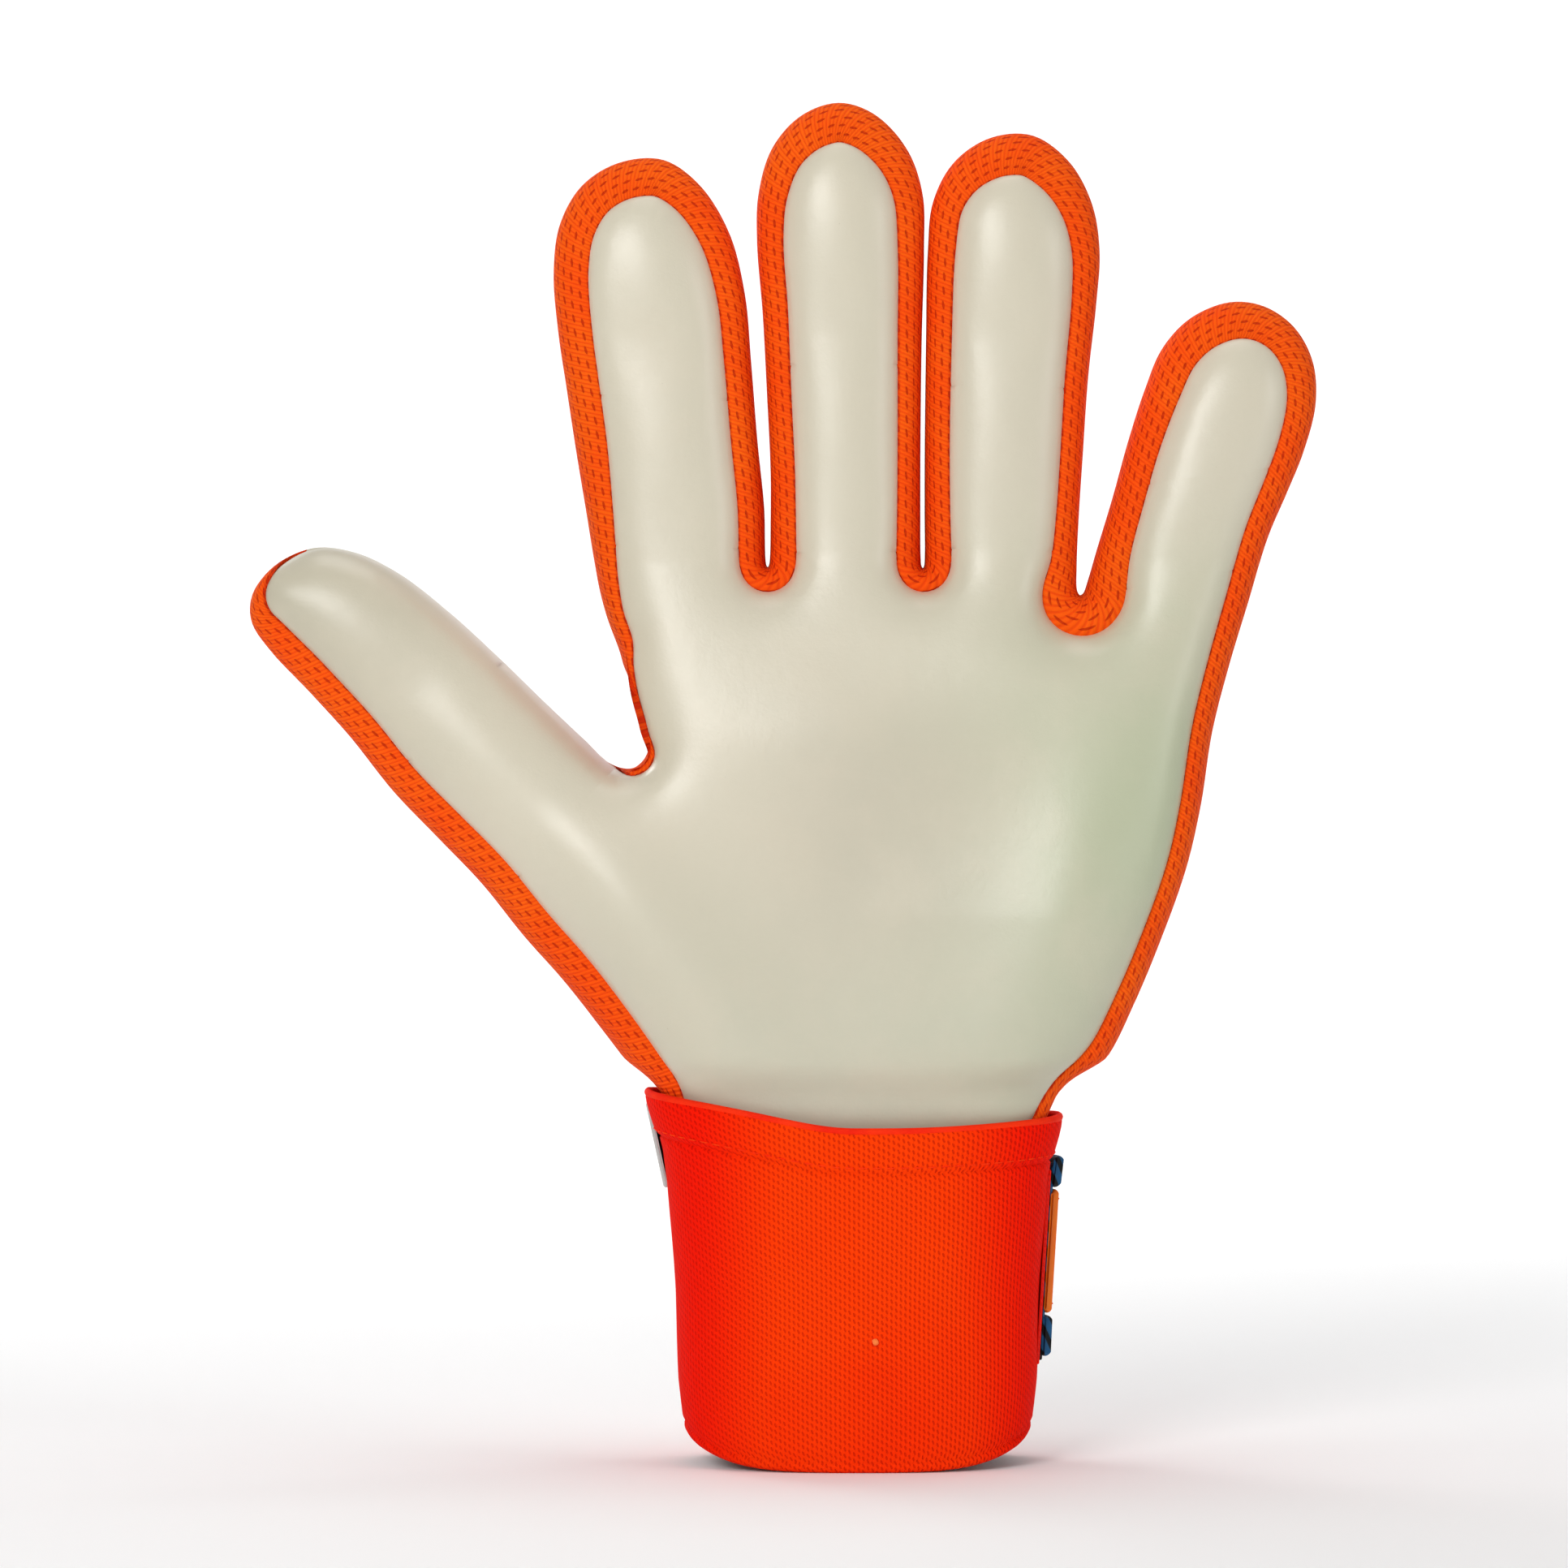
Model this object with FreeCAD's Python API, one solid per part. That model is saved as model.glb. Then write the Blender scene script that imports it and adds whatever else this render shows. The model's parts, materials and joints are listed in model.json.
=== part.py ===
"""Left goalkeeper glove, standing on the rim of its cuff, fingers up, palm towards -Y, millimetres.

The origin is the middle of the hand opening at the cuff's rim. +X is the little-finger side.
Each finger and the thumb is two segments on two flexing lines; the palm flexes on the cuff at the
wrist; the closing strap peels off the back of the cuff and its pull tab lifts.
"""
import FreeCAD
import Part

import math
import os

from FreeCAD import Vector

# ---- driving dimensions, millimetres and degrees -------------------------------------------------
FAR = 200.0                           # larger than the glove, for cutting solids
IN_FRONT = -45.0                      # y in front of everything on the palm side
SHARP_ROUND = 0.5                     # radius of an outline's corners that lie inside other pieces
OVERLAP = 1.0                         # run of one solid past another where they are cut or joined
ROUND_LIMIT = 0.48                    # largest corner radius to the width of a section
SECTOR_STEP_DEG = 45.0
SHEET_THICK = 4.5                     # laminated sheet: latex or back foam with its bonded lining
STRIP_THICK = 2.0                     # padded edge strip between the palm sheet and the back sheet
LINING_THICK = 0.8
EDGE_ROUND = 9.0                      # rounding of the glove's long edges
POCKET_ROUND = 5.0
PALM_INSET = 4.2                      # latex edge back from the outline
BACK_INSET = 3.2
SPLIT_Y = -3.0                        # the latex stays in front of this plane, the back sheet behind
CLEAR = 0.3                           # between bodies, and at each flexing line

# Fingers: root and end of the middle line (x, z), half width at both ends, and the heights of the
# base and the middle flexing line
FINGERS = {
    "index": ((-34.6, 178.0), (-42.9, 249.6), (16.0, 17.6), 180.0, 212.0),
    "middle": ((-2.6, 178.0), (-3.7, 260.0), (14.6, 16.1), 180.0, 218.0),
    "ring": ((27.0, 178.0), (30.2, 254.6), (14.2, 16.0), 180.0, 214.0),
    "little": ((58.2, 166.0), (73.4, 222.4), (14.8, 16.2), 175.0, 197.0),
}
FINGER_ROOT_DEEP = 16.0               # run of a finger below its flexing line, inside the palm
FINGER_OUTLINE_DEEP = 10.0            # run of a finger's outline below that again
BASE_FLEX_DEG = 70.0
MID_FLEX_DEG = 75.0
FLEX_SPARE_DEG = 1.0                  # extra opening of each V-shaped flexing gap
TIP_ROUND_SHARE = 0.97                # corner radius of a digit's outline to its half width

# Dome of a digit's tip: where its rings lie, the gap under it, and how its depth falls away
DOME_DEG = (22, 42, 58, 70, 79, 85)
DOME_GAP = 3.0
DOME_END_DEPTH = 0.35
DOME_FULLNESS = 0.7
STRAIGHT_RINGS = 5

THUMB_ROOT = (-53.2, 115.4)
THUMB_TILT_DEG = 47.3                 # from +Z towards -X
THUMB_LENGTH = 82.0
THUMB_HALF = (18.6, 13.6)
THUMB_START = -16.0
THUMB_BASE = 13.0                     # flexing lines along the thumb from its root
THUMB_MID = 46.0
THUMB_PANEL_CORNER = (-40.0, -FAR, -9.0)    # the sewn-on root of the thumb, in the thumb's own frame
THUMB_PANEL_SIZE = (64.0, 2 * FAR, FAR)
THUMB_BASE_FLEX_DEG = 50.0
THUMB_MID_FLEX_DEG = 60.0

# Side view: height, front y, back y
HAND_PROFILE = [(58.0, -20.8, 20.8), (70.0, -21.0, 21.0), (105.0, -21.5, 20.0), (140.0, -18.5, 18.0),
                (172.0, -14.5, 15.5), (215.0, -15.5, 9.5), (270.0, -20.0, 3.0)]
THUMB_PROFILE = [(-45.0, -20.5, 18.0), (0.0, -19.5, 16.0), (45.0, -18.5, 8.5), (95.0, -19.5, 3.5)]
# Palm between wrist and finger roots: height, left x, right x
PALM_SECTIONS = [(58.0, -38.5, 37.0), (70.0, -42.0, 40.5), (84.0, -51.0, 49.0), (97.0, -57.0, 56.0),
                 (112.0, -56.0, 61.5), (126.0, -48.0, 65.0), (136.0, -41.5, 66.8), (152.0, -45.5, 70.3),
                 (168.0, -50.5, 73.6)]

WRIST_Z = 63.0
WRIST_FLEX_DEG = 30.0
PALM_FLARE_DEG = 18.0                 # slope of the palm's bottom edge away from the wrist line
LINING_Z = (72.0, 160.0)

CUFF_HALF_WIDTH = 35.5
CUFF_HALF_DEPTH = 21.5
CUFF_ROUND = 20.0
CUFF_TOP_Z = 56.0
CUFF_OUTER_THICK = 1.8
CUFF_INNER_THICK = 1.2
CUFF_FOLD_Z = 1.0                     # the inner band is turned in just above the rim
HEM_TOP_Z = 69.0
GUSSET_THICK = 2.0
GUSSET_DEG = (160.0, 205.0)

STRAP_Z = (19.0, 56.0)
STRAP_THICK = 1.2
STRAP_START_DEG = -9.0                # round the cuff from +X towards +Y
STRAP_HINGE_DEG = 4.0
STRAP_END_DEG = 144.0
PAD_THICK = 1.2
PAD_MARGIN_DEG = 2.5
UPPER_PAD_Z = (52.5, 56.0)
BADGE_Z = (28.0, 51.5)
LOWER_PAD_Z = (19.0, 27.0)
PATCH_THICK = 0.6                     # each half of the hook-and-loop closure
PATCH_Z = (23.0, 52.0)
LOOP_DEG = (86.0, 143.0)
HOOK_DEG = (91.0, 141.0)
TAB_END_DEG = 161.0
TAB_THICK = 2.2
TAB_Z = (24.0, 51.0)
STRAP_GAP_DEG = 1.0

PUNCH_PAD = (-36.0, 58.0, 130.0, 157.0)     # x0, x1, z0, z1 of the raised pad behind the knuckles
STRIPE_PANEL = (-28.0, 34.0, 80.0, 122.0)
BACK_PAD_THICK = 1.8
WEB_Z = (168.0, 173.0, 173.0)         # floors of the gaps, from the little finger's on
GAP_ROUND_SHARE = 0.9
BACK_PAD_CORNER = 7.0

# Outline of the palm seen from the front: x, z, corner radius
ULNAR_OUTLINE = [(36.0, 40.0, 1.0), (36.5, 62.0, 30.0), (52.5, 92.0, 60.0), (66.0, 132.0, 90.0)]
THUMB_SIDE_OUTLINE = [(-66.5, 101.5, 40.0), (-39.0, 66.0, 25.0), (-38.0, 40.0, 1.0)]
THUMB_CROTCH = (-39.0, 133.5, 3.2)
LITTLE_ROOT_ROUND = 50.0
INDEX_ROOT_ROUND = 60.0
THUMB_STUB = 34.0
THUMB_STUB_ROUND = 5.0
# Where each run of the palm's edge strip has its middle: x0, x1, z0, z1
PALM_STRIPS = {
    "ulnar_edge_strip": (40.0, 90.0, 60.0, 160.0),
    "thumb_edge_strip": (-90.0, -40.0, 60.0, 110.0),
    "thumb_web": (-90.0, -48.0, 125.0, 145.0),
    "index_edge_strip": (-48.0, -35.0, 140.0, 160.0),
    "finger_forks": (-35.0, 30.0, 160.0, 190.0),
}



# ---- outlines and rings ---------------------------------------------------------------------------
def unit(x, z):
    length = math.hypot(x, z)
    return x / length, z / length


def inset(points, d):
    """Moves every edge of a counter-clockwise rounded polygon inwards by d."""
    made = []
    n = len(points)
    for i, (x, z, r) in enumerate(points):
        x0, z0, _ = points[i - 1]
        x1, z1, _ = points[(i + 1) % n]
        ax, az = unit(x - x0, z - z0)
        bx, bz = unit(x1 - x, z1 - z)
        turn = ax * bz - az * bx
        along = d * (1 - (ax * bx + az * bz)) / turn if abs(turn) > 1e-6 else 0.0
        px = x - az * d - ax * along
        pz = z + ax * d - az * along
        made.append((px, pz, max(0.1, r - d if turn > 0 else r + d)))
    return made


def outline_face(points):
    """A face in the plane y = 0: straight edges joined by tangent arcs of the stated radii."""
    n = len(points)
    corners = []
    for i, (x, z, r) in enumerate(points):
        x0, z0, _ = points[i - 1]
        x1, z1, _ = points[(i + 1) % n]
        ax, az = unit(x0 - x, z0 - z)
        bx, bz = unit(x1 - x, z1 - z)
        half = math.acos(max(-1.0, min(1.0, ax * bx + az * bz))) / 2
        reach = r / math.tan(half)
        mx, mz = unit(ax + bx, az + bz)
        to_arc = r / math.sin(half) - r
        start = Vector(x + ax * reach, 0, z + az * reach)
        middle = Vector(x + mx * to_arc, 0, z + mz * to_arc)
        end = Vector(x + bx * reach, 0, z + bz * reach)
        corners.append((start, middle, end))
    edges = []
    for i, (start, middle, end) in enumerate(corners):
        edges.append(Part.Arc(start, middle, end).toShape())
        edges.append(Part.LineSegment(end, corners[(i + 1) % n][0]).toShape())
    return Part.Face(Part.Wire(edges))


def prism(points, y0, y1):
    """The outline carried through from y0 to y1."""
    face = outline_face(points)
    face.translate(Vector(0, y0, 0))
    return face.extrude(Vector(0, y1 - y0, 0))


def side_prism(points):
    """A polygon of (y, z) points carried right across the glove."""
    corners = [Vector(-FAR, y, z) for y, z in points]
    face = Part.Face(Part.makePolygon(corners + corners[:1]))
    return face.extrude(Vector(2 * FAR, 0, 0))


def ring_wire(left, right, front, back, radius, z):
    """A rounded rectangle in the plane at height z."""
    r = min(radius, ROUND_LIMIT * (right - left), ROUND_LIMIT * (back - front))
    s = r * (1 - math.sqrt(0.5))
    corners = [(left, front, 1, 1), (right, front, -1, 1), (right, back, -1, -1), (left, back, 1, -1)]
    arcs = []
    for i, (x, y, sx, sy) in enumerate(corners):
        along_x = Vector(x + sx * r, y, z)
        along_y = Vector(x, y + sy * r, z)
        middle = Vector(x + sx * s, y + sy * s, z)
        ends = (along_y, along_x) if i % 2 == 0 else (along_x, along_y)
        arcs.append((ends[0], middle, ends[1]))
    edges = []
    for i, (start, middle, end) in enumerate(arcs):
        edges.append(Part.Arc(start, middle, end).toShape())
        edges.append(Part.LineSegment(end, arcs[(i + 1) % 4][0]).toShape())
    return Part.Wire(edges)


def loft(rings):
    return Part.makeLoft(rings, True, True)


def between(profile, z):
    """The other values of a table at height z, by straight interpolation."""
    for low, high in zip(profile, profile[1:]):
        if z <= high[0]:
            break
    share = (z - low[0]) / (high[0] - low[0])
    return tuple(a + (b - a) * share for a, b in zip(low[1:], high[1:]))


def at_height(a, b, z):
    """x on the line through a and b at height z."""
    return a[0] + (b[0] - a[0]) * (z - a[1]) / (b[1] - a[1])


# ---- digits ---------------------------------------------------------------------------------------
class Digit:
    """A finger or the thumb, upright: middle line, half widths, side view and flexing lines."""

    def __init__(self, name):
        self.name = name
        self.is_thumb = name == "thumb"
        if self.is_thumb:
            self.root, self.end, self.half = (0.0, 0.0), (0.0, THUMB_LENGTH), THUMB_HALF
            self.base, self.mid, self.start = THUMB_BASE, THUMB_MID, THUMB_START
            self.profile = THUMB_PROFILE
            self.flex = (THUMB_BASE_FLEX_DEG, THUMB_MID_FLEX_DEG)
        else:
            self.root, self.end, self.half, self.base, self.mid = FINGERS[name]
            self.start = self.base - FINGER_ROOT_DEEP
            self.profile = HAND_PROFILE
            self.flex = (BASE_FLEX_DEG, MID_FLEX_DEG)

    def edges(self):
        """Right root, right end, left end, left root."""
        (rx, rz), (tx, tz), (hr, ht) = self.root, self.end, self.half
        ux, uz = unit(tx - rx, tz - rz)
        return ((rx + uz * hr, rz - ux * hr), (tx + uz * ht, tz - ux * ht),
                (tx - uz * ht, tz + ux * ht), (rx - uz * hr, rz + ux * hr))

    def straight_rings(self, side, sheet, radius, start, stop):
        """Sections of the digit between two heights, set in by the side and sheet thicknesses."""
        right_root, right_end, left_end, left_root = self.edges()
        rings = []
        for i in range(STRAIGHT_RINGS):
            z = start + (stop - start) * i / (STRAIGHT_RINGS - 1)
            front, back = between(self.profile, z)
            left = at_height(left_root, left_end, z) + side
            right = at_height(right_root, right_end, z) - side
            rings.append(ring_wire(left, right, front + sheet, back - sheet, radius, z))
        return rings

    def dome_rings(self, side, sheet, radius, dome_z):
        """Sections of the digit's tip, narrowing upwards from the dome's lower edge."""
        right_root, right_end, left_end, left_root = self.edges()
        x = (at_height(left_root, left_end, dome_z) + at_height(right_root, right_end, dome_z)) / 2
        half = self.half[1] - side
        rings = []
        for degrees in DOME_DEG:
            rise = math.sin(math.radians(degrees))
            reach = math.cos(math.radians(degrees))
            z = dome_z + half * rise
            front, back = between(self.profile, z)
            share = DOME_END_DEPTH + (1 - DOME_END_DEPTH) * reach ** DOME_FULLNESS
            depth = ((back - front) / 2 - sheet) * share
            middle = (front + back) / 2
            wide = half * reach
            rings.append(ring_wire(x - wide, x + wide, middle - depth, middle + depth, radius, z))
        return rings

    def solid(self, side, sheet, radius, start):
        """From start up to the domed tip, set in by the side and sheet thicknesses."""
        dome_z = self.end[1] - self.half[1]
        straight = self.straight_rings(side, sheet, radius, start, dome_z - DOME_GAP)
        return loft(straight + self.dome_rings(side, sheet, radius, dome_z))

    def outer(self):
        return self.solid(0.0, 0.0, EDGE_ROUND, self.start)

    def pocket(self):
        return self.solid(STRIP_THICK, SHEET_THICK, POCKET_ROUND, self.start - CLEAR)

    def hinge_y(self, z):
        """The flexing lines run along the inner face of the palm-side sheet."""
        return between(self.profile, z)[0] + SHEET_THICK

    def limit(self, z, flex, way):
        """Points (y, z) of one face of a flexing line: way +1 above it, -1 below it."""
        y = self.hinge_y(z)
        slope = math.tan(math.radians(flex / 2 + FLEX_SPARE_DEG))
        edge = z + way * CLEAR / 2
        return [(IN_FRONT, edge + way * (y - IN_FRONT) * slope), (y, edge), (FAR, edge)]

    def below_base(self):
        return side_prism(self.limit(self.base, self.flex[0], -1) + [(FAR, -FAR), (IN_FRONT, -FAR)])

    def base_part(self):
        low = self.limit(self.base, self.flex[0], 1)
        high = self.limit(self.mid, self.flex[1], -1)
        cut_low = side_prism(low + [(FAR, 2 * FAR), (IN_FRONT, 2 * FAR)])
        cut_high = side_prism(high + [(FAR, -FAR), (IN_FRONT, -FAR)])
        return cut_low.common(cut_high)

    def tip_part(self):
        return side_prism(self.limit(self.mid, self.flex[1], 1) + [(FAR, 2 * FAR), (IN_FRONT, 2 * FAR)])

    def outline(self):
        """The digit seen from the front, run down below its start."""
        right_root, right_end, left_end, left_root = self.edges()
        low = self.start - FINGER_OUTLINE_DEEP
        tip_round = TIP_ROUND_SHARE * self.half[1]
        return [(at_height(right_root, right_end, low), low, SHARP_ROUND), (*right_end, tip_round),
                (*left_end, tip_round), (at_height(left_root, left_end, low), low, SHARP_ROUND)]

    def placed(self, shape):
        """The thumb is drawn upright and then leaned out from the palm."""
        if not self.is_thumb:
            return shape
        made = shape.copy()
        made.rotate(Vector(0, 0, 0), Vector(0, 1, 0), -THUMB_TILT_DEG)
        made.translate(Vector(THUMB_ROOT[0], 0, THUMB_ROOT[1]))
        return made


DIGITS = [Digit(name) for name in ("little", "ring", "middle", "index", "thumb")]
FINGER_DIGITS = DIGITS[:4]
THUMB = DIGITS[4]


def split_layers(shell, outline, wrap=None):
    """Latex in front, back sheet behind, and the edge strip that is left between them."""
    front = prism(inset(outline, PALM_INSET), -FAR, SPLIT_Y)
    if wrap:
        front = front.fuse(wrap)
    behind = prism(inset(outline, BACK_INSET), SPLIT_Y, FAR)
    latex = shell.common(front)
    back = shell.common(behind)
    strip = shell.cut(front).cut(behind)
    return latex, back, strip


def digit_nodes(digit):
    """Latex, edge strip and back sheet of both segments of one digit."""
    shell = digit.outer().cut(digit.pocket())
    wrap = None
    if digit.is_thumb:
        wrap = Part.makeBox(FAR, FAR, 2 * FAR, Vector(0, SPLIT_Y - FAR, -FAR))
    made = {}
    for part, keep in (("base", digit.base_part()), ("tip", digit.tip_part())):
        latex, back, strip = split_layers(shell.common(keep), digit.outline(), wrap)
        made[f"{digit.name}_{part}_latex"] = digit.placed(latex)
        made[f"{digit.name}_{part}_strip"] = digit.placed(strip)
        made[f"{digit.name}_{part}_back"] = digit.placed(back)
    return made


# ---- palm -----------------------------------------------------------------------------------------
def palm_block(side, sheet, radius, low, high):
    """The palm between two heights, set in by the side and sheet thicknesses."""
    heights = [low] + [row[0] for row in PALM_SECTIONS if low < row[0] < high] + [high]
    rings = []
    for z in heights:
        left, right = between(PALM_SECTIONS, z)
        front, back = between(HAND_PROFILE, z)
        rings.append(ring_wire(left + side, right - side, front + sheet, back - sheet, radius, z))
    return loft(rings)


def above_wrist():
    rise = FAR * math.tan(math.radians(PALM_FLARE_DEG))
    low = WRIST_Z + CLEAR
    return side_prism([(-FAR, low + rise), (0, low), (FAR, low + rise), (FAR, 2 * FAR), (-FAR, 2 * FAR)])


def gap_floor(right, left, floor):
    """The two rounded corners at the bottom of the gap between two neighbouring fingers."""
    right_edge = right.edges()
    left_edge = left.edges()
    x0 = at_height(right_edge[3], right_edge[2], floor)
    x1 = at_height(left_edge[0], left_edge[1], floor)
    middle, half = (x0 + x1) / 2, abs(x0 - x1) / 2
    return [(middle + half, floor, GAP_ROUND_SHARE * half), (middle - half, floor, GAP_ROUND_SHARE * half)]


def thumb_stub():
    """The two end corners of the thumb's stub."""
    lean = math.radians(THUMB_TILT_DEG)
    ux, uz = -math.sin(lean), math.cos(lean)
    half = THUMB_HALF[0]
    x, z = THUMB_ROOT[0] + ux * THUMB_STUB, THUMB_ROOT[1] + uz * THUMB_STUB
    return [(x + side * uz * half, z - side * ux * half, THUMB_STUB_ROUND) for side in (1, -1)]


def hand_outline():
    """Palm and fingers counter-clockwise seen from the front, with a stub of the thumb."""
    points = list(ULNAR_OUTLINE)
    points.append((*FINGER_DIGITS[0].edges()[0], LITTLE_ROOT_ROUND))
    for i, digit in enumerate(FINGER_DIGITS):
        _, right_end, left_end, _ = digit.edges()
        tip_round = TIP_ROUND_SHARE * digit.half[1]
        points += [(*right_end, tip_round), (*left_end, tip_round)]
        if i < len(WEB_Z):
            points += gap_floor(digit, FINGER_DIGITS[i + 1], WEB_Z[i])
    points.append((*FINGER_DIGITS[-1].edges()[3], INDEX_ROOT_ROUND))
    points.append(THUMB_CROTCH)
    return points + thumb_stub() + THUMB_SIDE_OUTLINE


def solids_in(shape, region):
    """Those solids of a shape whose middle lies in x0, x1, z0, z1."""
    x0, x1, z0, z1 = region
    found = []
    for solid in shape.Solids:
        middle = solid.BoundBox.Center
        if x0 < middle.x < x1 and z0 < middle.z < z1:
            found.append(solid)
    return Part.makeCompound(found)


def back_pad(x0, x1, z0, z1):
    """A raised pad lying on the back of the palm."""
    raised = palm_block(0.0, -BACK_PAD_THICK, EDGE_ROUND, z0, z1)
    block = palm_block(-OVERLAP, 0.0, EDGE_ROUND, z0 - OVERLAP, z1 + OVERLAP)
    outline = [(x, z, BACK_PAD_CORNER) for x, z in ((x0, z0), (x1, z0), (x1, z1), (x0, z1))]
    return raised.cut(block).common(prism(outline, 0.0, FAR))


def palm_shell(pockets):
    """The palm with the roots of the digits, hollowed for the hand and ending at the wrist."""
    low, top = PALM_SECTIONS[0][0], PALM_SECTIONS[-1][0]
    outer = palm_block(0.0, 0.0, EDGE_ROUND, low, top)
    pocket = palm_block(STRIP_THICK, SHEET_THICK, POCKET_ROUND, low, top - STRIP_THICK)
    stubs = [digit.placed(digit.outer().common(digit.below_base())) for digit in DIGITS]
    return outer.fuse(stubs).cut(pocket.fuse(pockets)).common(above_wrist())


def palm_lining(pockets):
    """A thin sleeve inside the palm, open to the cuff and to the digits."""
    side, sheet = STRIP_THICK + CLEAR, SHEET_THICK + CLEAR
    low, top = LINING_Z
    sleeve = palm_block(side, sheet, POCKET_ROUND, low, top)
    inside = palm_block(side + LINING_THICK, sheet + LINING_THICK, POCKET_ROUND, low - OVERLAP, top + OVERLAP)
    return sleeve.cut(inside).cut(pockets)


def palm_nodes():
    pockets = [digit.placed(digit.pocket()) for digit in DIGITS]
    latex, back, strip = split_layers(palm_shell(pockets), hand_outline())
    thumb_root = THUMB.placed(Part.makeBox(*THUMB_PANEL_SIZE, Vector(*THUMB_PANEL_CORNER)))
    made = {name: solids_in(strip, region) for name, region in PALM_STRIPS.items()}
    return made | {
        "palm_latex": latex.cut(thumb_root),
        "thumb_root_latex": latex.common(thumb_root),
        "backhand_panel": back.cut(thumb_root),
        "thumb_root_back": back.common(thumb_root),
        "palm_lining": palm_lining(pockets),
        "punch_pad": back_pad(*PUNCH_PAD),
        "stripe_panel": back_pad(*STRIPE_PANEL),
    }


# ---- cuff and strap -------------------------------------------------------------------------------
def cuff_wire(grow, z):
    """The cuff's outer line in plan, grown outwards."""
    return ring_wire(-CUFF_HALF_WIDTH - grow, CUFF_HALF_WIDTH + grow, -CUFF_HALF_DEPTH - grow,
                     CUFF_HALF_DEPTH + grow, CUFF_ROUND + grow, z)


def tube(inner, outer, z0, z1):
    """A length of the cuff between two offsets from its outer line."""
    height = Vector(0, 0, z1 - z0)
    solid = Part.Face(cuff_wire(outer, z0)).extrude(height)
    return solid.cut(Part.Face(cuff_wire(inner, z0)).extrude(height))


def sector(start, end):
    """A wedge about the cuff's middle, turning from +X towards the back."""
    steps = max(1, math.ceil((end - start) / SECTOR_STEP_DEG))
    angles = [math.radians(start + (end - start) * i / steps) for i in range(steps + 1)]
    corners = [Vector(FAR * math.cos(a), FAR * math.sin(a), -FAR) for a in angles]
    corners = [Vector(0, 0, -FAR)] + corners + [Vector(0, 0, -FAR)]
    return Part.Face(Part.makePolygon(corners)).extrude(Vector(0, 0, 2 * FAR))


def wrap_piece(inner, outer, heights, degrees):
    """A band lying round part of the cuff."""
    return tube(inner, outer, *heights).common(sector(*degrees))


def cuff_nodes():
    lift = CUFF_OUTER_THICK + CUFF_INNER_THICK
    hem = tube(-lift, 0.0, CUFF_TOP_Z + CLEAR, 2 * WRIST_Z).cut(above_wrist())
    hem = hem.common(side_prism([(-FAR, 0.0), (FAR, 0.0), (FAR, HEM_TOP_Z), (-FAR, HEM_TOP_Z)]))
    gusset = tube(0.0, GUSSET_THICK, CUFF_TOP_Z + CLEAR, HEM_TOP_Z).common(sector(*GUSSET_DEG))
    gusset = gusset.cut(above_wrist())
    strap_in = 2 * PATCH_THICK + CLEAR
    strap_out = strap_in + STRAP_THICK
    return {
        "cuff_outer_band": tube(-CUFF_OUTER_THICK, 0.0, 0.0, CUFF_TOP_Z),
        "cuff_inner_band": tube(-lift, -CUFF_OUTER_THICK, CUFF_FOLD_Z, CUFF_TOP_Z),
        "cuff_hem_band": hem,
        "wrist_gusset": gusset,
        "strap_root": wrap_piece(0.0, strap_out, STRAP_Z, (STRAP_START_DEG, STRAP_HINGE_DEG)),
        "loop_patch": wrap_piece(0.0, PATCH_THICK, PATCH_Z, LOOP_DEG),
    }


def strap_nodes():
    lift = PATCH_THICK + CLEAR
    strap_in = lift + PATCH_THICK
    strap_out = strap_in + STRAP_THICK
    pad_out = strap_out + PAD_THICK
    start = STRAP_HINGE_DEG + STRAP_GAP_DEG
    pads = (start + PAD_MARGIN_DEG, STRAP_END_DEG - PAD_MARGIN_DEG)
    tab = (STRAP_END_DEG + STRAP_GAP_DEG, TAB_END_DEG)
    return {
        "strap_band": wrap_piece(strap_in, strap_out, STRAP_Z, (start, STRAP_END_DEG)),
        "hook_patch": wrap_piece(lift, strap_in, PATCH_Z, HOOK_DEG),
        "strap_upper_pad": wrap_piece(strap_out, pad_out, UPPER_PAD_Z, pads),
        "strap_badge": wrap_piece(strap_out, pad_out, BADGE_Z, pads),
        "strap_lower_pad": wrap_piece(strap_out, pad_out, LOWER_PAD_Z, pads),
        "strap_pull_tab": wrap_piece(strap_in, strap_in + TAB_THICK, TAB_Z, tab),
    }


def main():
    nodes = {}
    for digit in DIGITS:
        nodes.update(digit_nodes(digit))
    nodes.update(palm_nodes())
    nodes.update(cuff_nodes())
    nodes.update(strap_nodes())
    os.makedirs("parts", exist_ok=True)
    for name, shape in nodes.items():
        shape.exportStep(f"parts/{name}.step")


if __name__ == "__main__":
    main()
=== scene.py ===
"""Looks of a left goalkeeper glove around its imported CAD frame. The pattern is in millimetres."""

import json
import math

import bpy
import numpy as np
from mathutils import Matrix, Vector
from mathutils.geometry import delaunay_2d_cdt


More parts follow.
